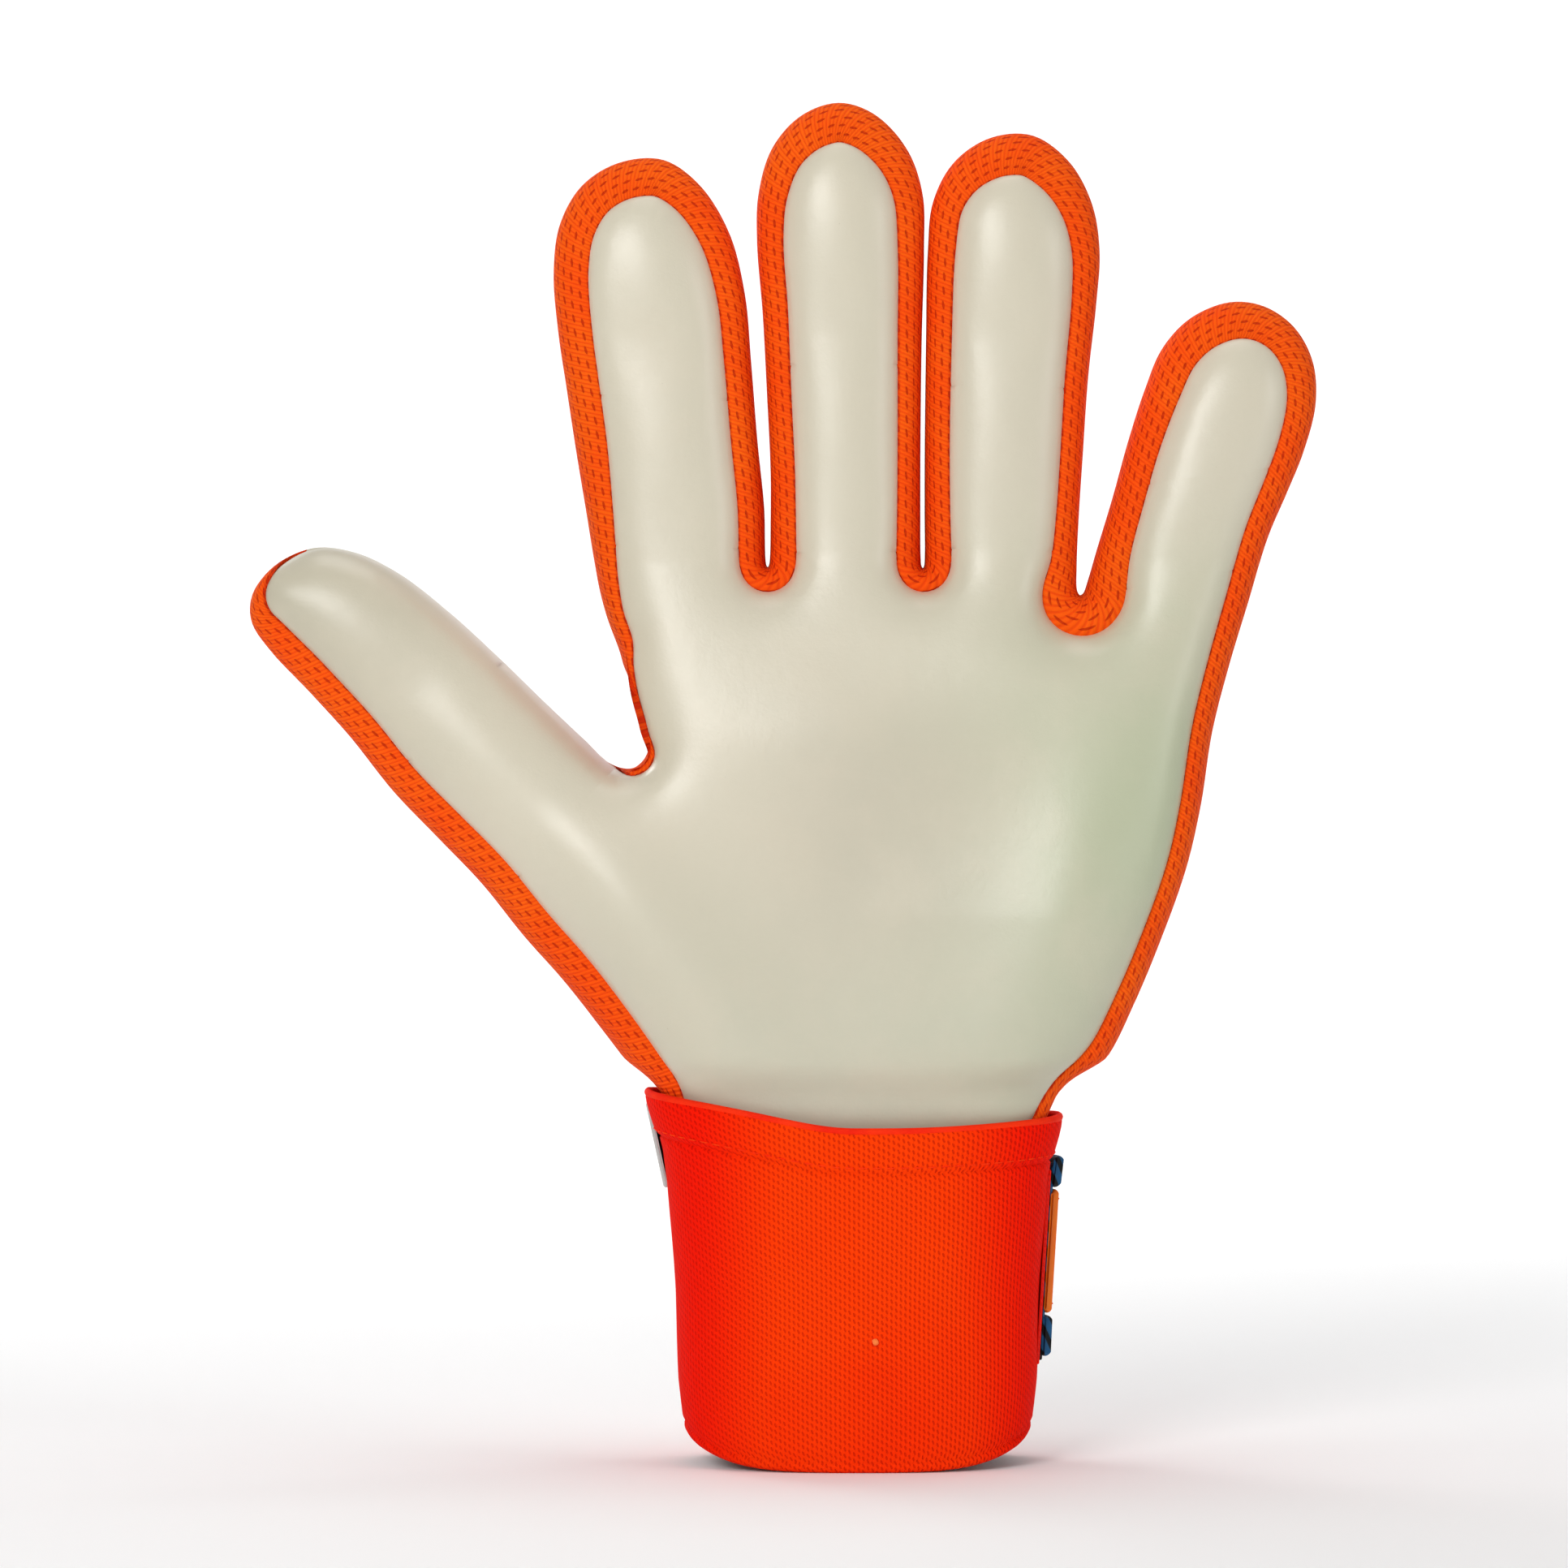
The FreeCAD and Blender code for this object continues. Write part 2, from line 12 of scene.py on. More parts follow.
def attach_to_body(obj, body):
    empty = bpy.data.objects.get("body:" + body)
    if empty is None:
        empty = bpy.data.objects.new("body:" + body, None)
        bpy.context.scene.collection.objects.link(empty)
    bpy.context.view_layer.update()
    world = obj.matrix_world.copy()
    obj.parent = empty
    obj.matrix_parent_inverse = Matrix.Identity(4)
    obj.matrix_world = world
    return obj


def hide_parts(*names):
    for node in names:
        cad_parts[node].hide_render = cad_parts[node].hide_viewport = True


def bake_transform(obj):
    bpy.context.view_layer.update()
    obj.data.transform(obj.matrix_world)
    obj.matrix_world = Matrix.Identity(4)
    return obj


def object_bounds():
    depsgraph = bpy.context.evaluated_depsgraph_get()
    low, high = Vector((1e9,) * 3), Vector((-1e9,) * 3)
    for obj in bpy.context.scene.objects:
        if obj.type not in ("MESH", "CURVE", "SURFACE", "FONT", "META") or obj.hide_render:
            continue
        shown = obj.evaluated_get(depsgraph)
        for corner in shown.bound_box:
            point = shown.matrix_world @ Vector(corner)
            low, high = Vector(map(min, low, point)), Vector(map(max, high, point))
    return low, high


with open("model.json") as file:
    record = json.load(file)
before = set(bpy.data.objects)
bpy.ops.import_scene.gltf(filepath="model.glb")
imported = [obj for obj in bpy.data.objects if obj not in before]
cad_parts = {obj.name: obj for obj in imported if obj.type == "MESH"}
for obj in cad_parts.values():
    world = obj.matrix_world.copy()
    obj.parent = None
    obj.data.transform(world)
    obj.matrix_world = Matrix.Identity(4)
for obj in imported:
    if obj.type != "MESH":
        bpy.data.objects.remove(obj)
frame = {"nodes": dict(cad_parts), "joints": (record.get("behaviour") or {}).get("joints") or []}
cad_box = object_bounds()
scene = bpy.context.scene
JOINTS = {j["name"]: j for j in frame["joints"]}
MM = 1000                              # millimetres in a metre

# ---- the glove's pattern --------------------------------------------------------------------------
# Outline of the hand, counter-clockwise seen from the palm side: x, z, and how far inside it the latex ends,
# before the strip's fuller width below
WRIST_Z = 57.0
ULNAR_EDGE = [(34.0, WRIST_Z, 3.5), (36.5, 64, 3.6), (41.5, 71.6, 3.8), (47.2, 78, 3.9), (52.2, 88, 3.8),
              (57.2, 100, 3.7), (62.2, 114, 3.7), (65.0, 126, 3.8), (67.2, 140, 3.8), (70.4, 152.5, 3.9),
              (74.2, 165, 4.1)]
LITTLE = [(78.0, 177.5, 4.3), (81.6, 186, 4.5), (84.8, 194, 4.8), (87.0, 203, 5.2), (86.4, 211, 5.6),
          (82.8, 217.6, 6.0), (77.0, 221.6, 6.4), (70.4, 222.4, 6.6), (63.0, 219.4, 6.4),
          (57.6, 213.6, 6.0), (54.4, 206, 5.6), (51.2, 196, 5.0), (48.2, 185, 4.8), (45.2, 175, 5.2)]
FORK_RING_LITTLE = [(43.6, 169.5, 6.2), (42.6, 166.8, 7.0), (41.9, 166.4, 7.4), (41.4, 167.2, 6.6)]
RING = [(41.3, 172, 4.6), (41.6, 180, 3.9), (42.4, 193, 3.8), (43.4, 208, 3.9), (44.9, 222, 4.2),
        (45.5, 232, 4.8), (44.0, 241, 5.8), (39.6, 249, 7.0), (32.6, 254, 7.5), (24.6, 253.6, 7.3),
        (17.6, 249, 6.4), (13.6, 241.5, 5.0), (12.6, 232, 4.3), (12.3, 215, 3.9), (12.1, 195, 3.7),
        (12.1, 182, 3.8)]
FORK_MIDDLE_RING = [(12.15, 174, 4.0), (12.0, 172.0, 4.2), (11.75, 171.6, 4.3), (11.5, 172.0, 4.2),
                    (11.35, 174, 4.0)]
MIDDLE = [(11.3, 182, 3.8), (11.3, 195, 3.7), (11.5, 215, 3.9), (11.9, 232, 4.3), (11.6, 243, 5.0),
          (8.6, 251.4, 6.0), (2.4, 258.0, 6.9), (-4.4, 260.2, 7.1), (-11.6, 257.8, 6.8),
          (-17.2, 251.6, 5.8), (-19.8, 243, 4.8), (-20.1, 234, 4.2), (-19.0, 220, 4.0), (-18.2, 205, 3.8),
          (-17.5, 190, 3.8), (-17.5, 180, 4.0)]
FORK_INDEX_MIDDLE = [(-17.6, 174, 4.2), (-17.8, 172.2, 4.4), (-18.05, 171.8, 4.5), (-18.3, 172.2, 4.4),
                     (-18.5, 174, 4.2)]
INDEX = [(-18.7, 183, 4.2), (-20.0, 196, 4.2), (-21.2, 211, 4.3), (-22.4, 224, 4.6), (-25.4, 235.6, 5.2),
         (-31.0, 244.6, 6.0), (-38.0, 249.4, 6.7), (-46.6, 248.8, 6.8), (-53.6, 244.4, 6.6),
         (-57.8, 237, 6.3), (-59.0, 228, 6.0), (-58.2, 217, 5.8), (-56.6, 206, 5.6), (-54.8, 194, 5.4),
         (-53.0, 183, 4.6), (-51.2, 172, 3.6), (-49.4, 163, 2.6), (-46.2, 154, 2.2), (-43.2, 147.0, 0.5)]
THUMB_CROTCH = [(-41.5, 142.4, 0.15), (-40.9, 139.2, 0.3), (-41.2, 135.9, 1.9), (-43.8, 133.2, 1.7),
                (-48.0, 133.9, 0.15)]
THUMB = [(-53.4, 138.8, 0.15), (-61.2, 146.2, 0.15), (-69.6, 154.4, 0.15), (-79.0, 163.0, 0.15),
         (-88.6, 170.4, 0.15), (-97.0, 174.4, 0.15), (-104.6, 175.2, 0.1), (-111.8, 172.0, 1.0),
         (-116.6, 166.0, 2.6), (-117.0, 160.8, 3.3), (-113.4, 154.6, 3.5), (-106.0, 146.6, 3.5),
         (-98.6, 138.4, 3.6), (-90.4, 128.0, 3.8), (-82.0, 119.2, 4.0), (-73.6, 110.4, 4.2)]
THUMB_EDGE = [(-65.6, 100.4, 4.3), (-57.8, 91.6, 4.3), (-50.6, 82.4, 4.2), (-44.6, 74.4, 3.9),
              (-40.0, 67.6, 3.7), (-37.6, 62, 3.5), (-36.4, WRIST_Z, 3.4)]
PATTERN_TALL = 260.2                   # the pattern's height, which is scaled to the frame's
STRIP_FULLER = 0.7                     # how far the padded strip swells over the latex edge,
THUMB_STRIP_FULLER = 1.6               # how much further on the thumb's outer side,
THUMB_SIDE_TRIM = 1.0                  # and how far that side is drawn in from the points above
STRIP_IN_FRONT = (1.9, 3.0)            # listed widths at which the strip starts and is full in front
LATEX_WRAPS = (1.3, 0.35)              # listed widths at which the latex starts and is fully over the side
WRAP_X = -45.5                         # and it does so only on the thumb's side of this
SPLINE_STEPS = 24                      # points between two listed ones
RUNS = [("ulnar", ULNAR_EDGE), ("little", LITTLE), ("fork", FORK_RING_LITTLE), ("ring", RING),
        ("fork", FORK_MIDDLE_RING), ("middle", MIDDLE), ("fork", FORK_INDEX_MIDDLE), ("index", INDEX),
        ("fork", THUMB_CROTCH), ("thumb", THUMB), ("edge", THUMB_EDGE)]
BACK_INSET = 3.4
STEP = 1.15                            # spacing of points round the outline
SHEET_THICK = 3.0
STRIP_THICK = 1.4
LINING_THICK = 0.5
LINING_TOP = 162

# Side view: height, crown of the palm side, crown of the back
HAND_SIDE = [(50, -19.6, 19.6), (58, -19.8, 19.8), (72, -20.8, 20.6), (105, -21.0, 20.0),
             (140, -18.5, 18.0), (172, -15.0, 15.5), (215, -15.5, 9.5), (262, -19.0, 4.0)]
THUMB_SIDE = [(-45, -20.5, 18.0), (0, -19.5, 16.0), (45, -18.5, 8.5), (95, -19.0, 4.5)]
ROUNDING = 8.5                         # how far in from its edge a sheet swells to its full height
FULLNESS = (0.66, 0.5)                 # how slowly it swells: palm side, back
FINGER_CROWN = (6.4, 4.4)              # the sheet's height above its seam: palm side, back
PALM_CROWN = (7.6, 6.4)

# The cuff: height and half width, height and half depth, the squareness of its section, the hem's width
CUFF_WIDTH = [(0, 30.2), (2, 31.4), (4, 32.4), (8, 33.4), (16, 34.2), (33, 35.0), (45, 35.8), (54, 36.4),
              (60, 37.2), (66, 38.9), (72, 40.8)]
CUFF_DEPTH = [(0, 21.2), (56, 21.6), (64, 22.2), (72, 22.8)]
CUFF_SQUARE = 2.7
CUFF_SHIFT = -0.8
HEM_WIDE = 8.0
HEM_TOP = 64.3
TUCK_FADE = (78, 70)                   # heights between which the hand is drawn inside the hem
TUCK_CLEAR = 0.9
RIM_ROUND = 1.1

# ---- curves and fields ----------------------------------------------------------------------------
def smoothstep(low, high, value):
    t = np.clip((np.asarray(value, float) - low) / (high - low), 0, 1)
    return t * t * (3 - 2 * t)


def spline(points, per=SPLINE_STEPS):
    """Centripetal Catmull-Rom through rows of numbers, open at both ends."""
    p = np.array(points, float)
    p = np.vstack([2 * p[0] - p[1], p, 2 * p[-1] - p[-2]])
    made = []
    for i in range(1, len(p) - 2):
        a, b, c, d = p[i - 1:i + 3]
        t0 = 0.0
        t1 = t0 + np.linalg.norm((b - a)[:2]) ** 0.5
        t2 = t1 + np.linalg.norm((c - b)[:2]) ** 0.5
        t3 = t2 + np.linalg.norm((d - c)[:2]) ** 0.5
        for t in np.linspace(t1, t2, per, endpoint=False):
            a1 = (t1 - t) / (t1 - t0) * a + (t - t0) / (t1 - t0) * b
            a2 = (t2 - t) / (t2 - t1) * b + (t - t1) / (t2 - t1) * c
            a3 = (t3 - t) / (t3 - t2) * c + (t - t2) / (t3 - t2) * d
            b1 = (t2 - t) / (t2 - t0) * a1 + (t - t0) / (t2 - t0) * a2
            b2 = (t3 - t) / (t3 - t1) * a2 + (t - t1) / (t3 - t1) * a3
            made.append((t2 - t) / (t2 - t1) * b1 + (t - t1) / (t2 - t1) * b2)
    made.append(p[-2])
    return np.array(made)


def smooth_rows(rows, passes):
    for _ in range(passes):
        rows = rows.copy()
        rows[1:-1] = 0.25 * rows[:-2] + 0.5 * rows[1:-1] + 0.25 * rows[2:]
    return rows


def steps_of(line):
    return np.linalg.norm(np.diff(line, axis=0), axis=1)


def length_along(line):
    """The length of a line of points up to each of them."""
    return np.concatenate([[0], np.cumsum(steps_of(line))])


def outward(xz):
    """Unit normals of a counter-clockwise line, pointing out."""
    t = np.gradient(xz, axis=0)
    t /= np.linalg.norm(t, axis=1)[:, None] + 1e-12
    return np.stack([t[:, 1], -t[:, 0]], 1)


def thumb_side_share(dense):
    """1 on the thumb's outer side, a little at the base of the index edge, 0 elsewhere."""
    x, z, wide = dense.T
    return smoothstep(170, 150, z) * smoothstep(-36, -42, x) * smoothstep(*STRIP_IN_FRONT, wide)


def trace_outline():
    """The outline, latex edge and back edge as matching points, and the run each point belongs to."""
    rows, run_of = [], []
    for number, (_, run) in enumerate(RUNS):
        rows += run
        run_of += [number] * len(run)
    dense = spline(rows) * (cad_box[1][2] * MM / PATTERN_TALL)
    thumb_side = thumb_side_share(dense)
    fuller = STRIP_FULLER * smoothstep(*STRIP_IN_FRONT, dense[:, 2]) + THUMB_STRIP_FULLER * thumb_side
    runs = np.array([run_of[min(i // SPLINE_STEPS, len(run_of) - 1)] for i in range(len(dense))])
    edge = dense[:, :2]
    normal = outward(edge)
    edge = edge - normal * (THUMB_SIDE_TRIM * thumb_side)[:, None]
    latex = edge - normal * (dense[:, 2] + fuller)[:, None]
    back = edge - normal * BACK_INSET
    reach = np.maximum(np.maximum(steps_of(edge), steps_of(latex)), steps_of(back))
    along = np.concatenate([[0], np.cumsum(reach)])
    count = int(along[-1] / STEP) + 1
    at = np.linspace(0, along[-1], count)
    pick = np.clip(np.searchsorted(along, at), 0, len(runs) - 1)

    def take(columns):
        return np.stack([np.interp(at, along, c) for c in columns.T], 1)

    edge, latex, back = take(edge), smooth_rows(take(latex), 3), smooth_rows(take(back), 3)
    over = smoothstep(*LATEX_WRAPS, np.interp(at, along, dense[:, 2]))
    wrap = smooth_rows(over * (edge[:, 0] < WRAP_X), 4)
    return edge, latex, back, runs[pick], wrap


EDGE, LATEX, BACK, RUN, WRAP = trace_outline()


def joint_xz(name):
    x, _, z = JOINTS[name]["pos_m"]
    return np.array([x, z]) * MM


class Digit:
    """A finger or the thumb: its flexing lines from the frame's joints, and where they cross the outline."""

    def __init__(self, name):
        self.name = name
        self.run = [i for i, (run, _) in enumerate(RUNS) if run == name][0]
        self.base = joint_xz(f"{name}_base_flex")
        self.mid = joint_xz(f"{name}_mid_flex")
        if name == "thumb":
            self.along = (self.mid - self.base) / np.linalg.norm(self.mid - self.base)
        else:
            self.along = np.array([0.0, 1.0])
        self.cuts = [self.crossing(self.base, -5.0), self.crossing(self.mid, -8.0)]

    def crossing(self, point, offset):
        """Indices of the outline, right side and left side, at a line across the digit."""
        level = self.along @ point + offset
        height = EDGE @ self.along
        middle = int(np.mean(np.nonzero(RUN == self.run)[0]))
        right = middle
        while height[right] > level or right > self.tip_index():
            right -= 1
        left = middle
        while height[left] > level or left < self.tip_index():
            left += 1
        return right, left

    def tip_index(self):
        own = np.nonzero(RUN == self.run)[0]
        return int(own[np.argmax((EDGE @ self.along)[own])])


DIGITS = {name: Digit(name) for name in ("little", "ring", "middle", "index", "thumb")}
THUMB_ROOT = joint_xz("thumb_base_flex") - 13.0 * DIGITS["thumb"].along


def crowns(xz):
    """y of the palm side's crown and of the back's crown at points of the outline's plane."""
    x, z = xz[:, 0], xz[:, 1]
    table = np.array(HAND_SIDE)
    thumb = np.array(THUMB_SIDE)
    u = (xz - THUMB_ROOT) @ DIGITS["thumb"].along
    share = smoothstep(0, 1, (-44 - x) / 18)
    return [np.interp(z, table[:, 0], table[:, side]) * (1 - share)
            + np.interp(u, thumb[:, 0], thumb[:, side]) * share for side in (1, 2)]


def wrap_near(xz):
    """1 beside the stretches of edge where the latex wraps over the side, 0 beside the others."""
    nearness = np.zeros(len(xz))
    total = np.zeros(len(xz))
    for start in range(0, len(LATEX), 64):
        d = np.linalg.norm(xz[:, None, :] - LATEX[None, start:start + 64, :], axis=2)
        weight = 1 / (d + 0.05) ** 3
        nearness += weight @ WRAP[start:start + 64]
        total += weight.sum(1)
    return nearness / total


def crown_height(xz, side):
    """How far the sheet swells above its seam: more on the palm than on the digits, and down to the
    middle of the side where the latex wraps over the thumb."""
    x, z = xz[:, 0], xz[:, 1]
    palm = smoothstep(182, 158, z) * smoothstep(-78, -50, x)
    plain = FINGER_CROWN[side] + (PALM_CROWN[side] - FINGER_CROWN[side]) * palm
    if side == 1:
        return plain
    front, back = crowns(xz)
    return plain + (0.5 * (back - front) - plain) * wrap_near(xz)


def soft_limit(value, limit, sharpness):
    """The value held softly below a limit."""
    share = np.abs(value) / limit
    return value / (1 + share ** sharpness) ** (1 / sharpness)


def tuck(points):
    """The points with the hand's lower end drawn inside the hem of the cuff."""
    share = smoothstep(*TUCK_FADE, points[:, 2])
    wide = np.interp(points[:, 2], *np.array(CUFF_WIDTH).T) - TUCK_CLEAR
    deep = np.interp(points[:, 2], *np.array(CUFF_DEPTH).T) - TUCK_CLEAR
    x = soft_limit(points[:, 0] - CUFF_SHIFT, wide, 12)
    room = deep * (1 - (np.abs(x) / wide) ** CUFF_SQUARE) ** (1 / CUFF_SQUARE)
    y = soft_limit(points[:, 1], room, 5)
    x = points[:, 0] + (CUFF_SHIFT + x - points[:, 0]) * share
    y = points[:, 1] + (y - points[:, 1]) * share
    return np.stack([x, y, points[:, 2]], 1)


def seam_y(xz, side):
    """y of the seam between a sheet and the edge strip: side 0 is the palm side."""
    crown = crowns(xz)[side]
    height = crown_height(xz, side)
    return crown + height if side == 0 else crown - height


# ---- sheets ---------------------------------------------------------------------------------------
def hex_grid(low, high, pitch):
    rows = []
    step = pitch * math.sqrt(3) / 2
    for number, z in enumerate(np.arange(low[1], high[1], step)):
        x = np.arange(low[0] + (pitch / 2 if number % 2 else 0), high[0], pitch)
        rows.append(np.stack([x, np.full_like(x, z)], 1))
    return np.vstack(rows)


def inside(points, polygon):
    """Which points lie in a closed polygon."""
    x, z = points[:, 0], points[:, 1]
    x0, z0 = polygon[:, 0], polygon[:, 1]
    x1, z1 = np.roll(x0, -1), np.roll(z0, -1)
    hit = np.zeros(len(points), bool)
    for a, b, c, d in zip(x0, z0, x1, z1):
        if b == d:
            continue
        crosses = (b > z) != (d > z)
        hit ^= crosses & (x < (c - a) * (z - b) / (d - b) + a)
    return hit


def nearest_distance(points, line):
    best = np.full(len(points), 1e9)
    for start in range(0, len(line), 64):
        chunk = line[start:start + 64]
        d = np.linalg.norm(points[:, None, :] - chunk[None, :, :], axis=2).min(1)
        best = np.minimum(best, d)
    return best


def between_points(a, b, pitch):
    count = max(2, int(np.linalg.norm(b - a) / pitch) + 1)
    return a + (b - a) * np.linspace(0, 1, count + 1)[1:-1, None]


def mesh_plane(loop, cuts, pitch=1.5):
    """Triangles over a closed loop of points, keeping the straight cut lines between pairs of its points."""
    points = [loop]
    edges = [(i, (i + 1) % len(loop)) for i in range(len(loop))]
    count = len(loop)
    lines = [loop]
    for right, left in cuts:
        inner = between_points(loop[right], loop[left], pitch)
        chain = [right, *range(count, count + len(inner)), left]
        edges += list(zip(chain, chain[1:]))
        points.append(inner)
        lines.append(inner)
        count += len(inner)
    normal = outward(np.vstack([loop[-1:], loop, loop[:1]]))[1:-1]
    for depth in (0.22, 0.6, 1.2):
        ring = loop - normal * depth
        ring = ring[nearest_distance(ring, np.vstack(lines)) > 0.8 * depth]
        points.append(ring)
    grid = hex_grid(loop.min(0), loop.max(0), pitch)
    fixed = np.vstack(points)
    grid = grid[inside(grid, loop)]
    grid = grid[nearest_distance(grid, fixed) > 0.8 * pitch]
    everything = np.vstack([fixed, grid])
    verts, _, faces, *_ = delaunay_2d_cdt([Vector(p) for p in everything], edges, [], 1, 1e-5)
    return np.array([tuple(v) for v in verts]), np.array([tuple(f) for f in faces])


def twice_area(points, faces):
    """Twice each triangle's area, above 0 where its points run counter-clockwise."""
    a, b, c = (points[faces[:, k]] for k in range(3))
    return (b[:, 0] - a[:, 0]) * (c[:, 1] - a[:, 1]) - (b[:, 1] - a[:, 1]) * (c[:, 0] - a[:, 0])


def swell(points, faces, held, reach):
    """A field that is 0 on the held points and rises smoothly to 1 within about the reach."""
    n = len(points)
    area = np.maximum(0.5 * np.abs(twice_area(points, faces)), 1e-6)
    ends, weights = [], []
    for i, j, k in ((0, 1, 2), (1, 2, 0), (2, 0, 1)):
        p, q, r = (points[faces[:, m]] for m in (i, j, k))
        cotangent = np.sum((p - r) * (q - r), 1) / (2 * area)
        ends.append(np.stack([faces[:, i], faces[:, j]], 1))
        weights.append(0.5 * cotangent)
    ends, weights = np.vstack(ends), np.concatenate(weights)
    mass = np.bincount(faces.ravel(), np.repeat(area / 3, 3), n) / reach ** 2
    free = np.ones(n, bool)
    free[held] = False

    def apply(u):
        flow = weights * (u[ends[:, 0]] - u[ends[:, 1]])
        return np.bincount(ends[:, 0], flow, n) - np.bincount(ends[:, 1], flow, n) + mass * u

    u = np.zeros(n)
    r = np.where(free, mass - apply(u), 0.0)
    p = r.copy()
    size = r @ r
    for _ in range(400):
        ap = np.where(free, apply(p), 0.0)
        step = size / (p @ ap)
        u += step * p
        r -= step * ap
        new = r @ r
        if new < 1e-12 * n:
            break
        p = r + new / size * p
        size = new
    return u


def vertex_normals(points, faces):
    a, b, c = (points[faces[:, k]] for k in range(3))
    face = np.cross(b - a, c - a)
    made = np.zeros_like(points)
    for k in range(faces.shape[1]):
        for axis in range(3):
            made[:, axis] += np.bincount(faces[:, k], face[:, axis], len(points))
    return made / (np.linalg.norm(made, axis=1)[:, None] + 1e-12)


def rims(faces):
    """Directed edges that only one face has."""
    following = np.roll(faces, -1, 1)
    pairs = np.vstack([np.stack([a, b], 1) for a, b in zip(faces.T, following.T)])
    there = set(map(tuple, pairs.tolist()))
    return [(a, b) for a, b in there if (b, a) not in there]


def new_piece(name, points, faces, material, fields=None):
    """A smooth-shaded object from points in millimetres, with the fields that its material reads."""
    mesh = bpy.data.meshes.new(name)
    mesh.from_pydata((np.array(points) / MM).tolist(), [], faces)
    mesh.polygons.foreach_set("use_smooth", [True] * len(faces))
    for label, values in (fields or {}).items():
        layer = mesh.attributes.new(label, "FLOAT_VECTOR", "POINT")
        layer.data.foreach_set("vector", values.astype(np.float32).ravel())
    mesh.materials.append(material)
    piece = bpy.data.objects.new(name, mesh)
    scene.collection.objects.link(piece)
    return piece


def make_piece(name, points, faces, thickness, material, normals=None, attributes=None):
    """A closed shell: the given outer surface in millimetres, thickened inwards, with sharp rims."""
    used = np.unique(faces)
    renumber = np.zeros(len(points), int)
    renumber[used] = np.arange(len(used))
    normals = vertex_normals(points, faces) if normals is None else normals
    faces = renumber[faces]
    outer, n = points[used], normals[used]
    thick = thickness[used][:, None] if np.ndim(thickness) else thickness
    inner = outer - n * thick
    count = len(outer)
    rim = rims(faces)
    walls = [(b, a, a + count, b + count) for a, b in rim]
    all_faces = faces.tolist() + [tuple(v + count for v in f[::-1]) for f in faces.tolist()] + walls
    fields = {label: np.vstack([values[used], values[used]]) for label, values in (attributes or {}).items()}
    piece = new_piece(name, np.vstack([outer, inner]), all_faces, material, fields)
    on_rim = {frozenset(e) for e in rim} | {frozenset((a + count, b + count)) for a, b in rim}
    for edge in piece.data.edges:
        if frozenset(edge.vertices) in on_rim:
            edge.use_edge_sharp = True
    return piece


def bump(xz, centre, radii, angle=0.0):
    """A soft hill of height 1 at the centre."""
    a = math.radians(angle)
    d = xz - np.array(centre)
    u = (d[:, 0] * math.cos(a) + d[:, 1] * math.sin(a)) / radii[0]
    v = (-d[:, 0] * math.sin(a) + d[:, 1] * math.cos(a)) / radii[1]
    return np.exp(-0.5 * (u * u + v * v))


# Height, middle, radii and lean of the heels of the thumb and of the hand, two mounds below the fingers,
# the palm's hollow and the wrist
PALM_MOUNDS = [(3.2, (-49, 110), (26, 8.5), -47), (2.6, (39, 104), (8.5, 22), -14),
               (2.6, (-6, 138), (15, 10), 0), (1.2, (30, 152), (16, 8), 0),
               (-1.8, (2, 122), (17, 22), 0), (0.8, (4, 76), (26, 7), 0)]


def palm_relief(xz):
    """The hand's mounds and hollow under the latex, in millimetres towards the viewer."""
    mounds = sum(high * bump(xz, middle, radii, lean) for high, middle, radii, lean in PALM_MOUNDS)
    return mounds + finger_pads(xz)


def finger_pads(xz):
    """The full tips of the digits and the shallow hollows at their flexing lines."""
    total = np.zeros(len(xz))
    for digit in DIGITS.values():
        lean = math.degrees(math.atan2(digit.along[1], digit.along[0]))
        hollows_and_pads = (("base", -0.5, 5, 0), ("mid", -0.6, 5, 0), ("base", 0.7, 9, 16),
                            ("mid", 1.0, 8, 17))
        for name, high, reach, ahead in hollows_and_pads:
            middle = joint_xz(f"{digit.name}_{name}_flex") + digit.along * ahead
            total += high * bump(xz, middle, (reach, 9), lean)
    return total


def groove_depth(xz):
    """The back's pressed-in lines: across the digits, two that frame the hand, one at the wrist."""
    total = np.zeros(len(xz))
    for digit in DIGITS.values():
        lean = math.degrees(math.atan2(digit.along[1], digit.along[0]))
        for name, ahead in (("base", 2), ("base", 14), ("mid", 0), ("mid", 12)):
            middle = joint_xz(f"{digit.name}_{name}_flex") + digit.along * ahead
            total += 1.7 * bump(xz, middle, (1.6, 8.0), lean)
    for x, lean in ((-41, 6), (53, -14)):
        total += 1.7 * bump(xz, (x, 104), (1.7, 18), lean)
    return total + 1.4 * bump(xz, (2, 72), (26, 1.6))


def back_relief(xz):
    """The back's mounds and hollow, less its pressed-in lines."""
    return 1.2 * bump(xz, (0, 150), (40, 10)) - 0.8 * bump(xz, (0, 118), (30, 18)) - groove_depth(xz)


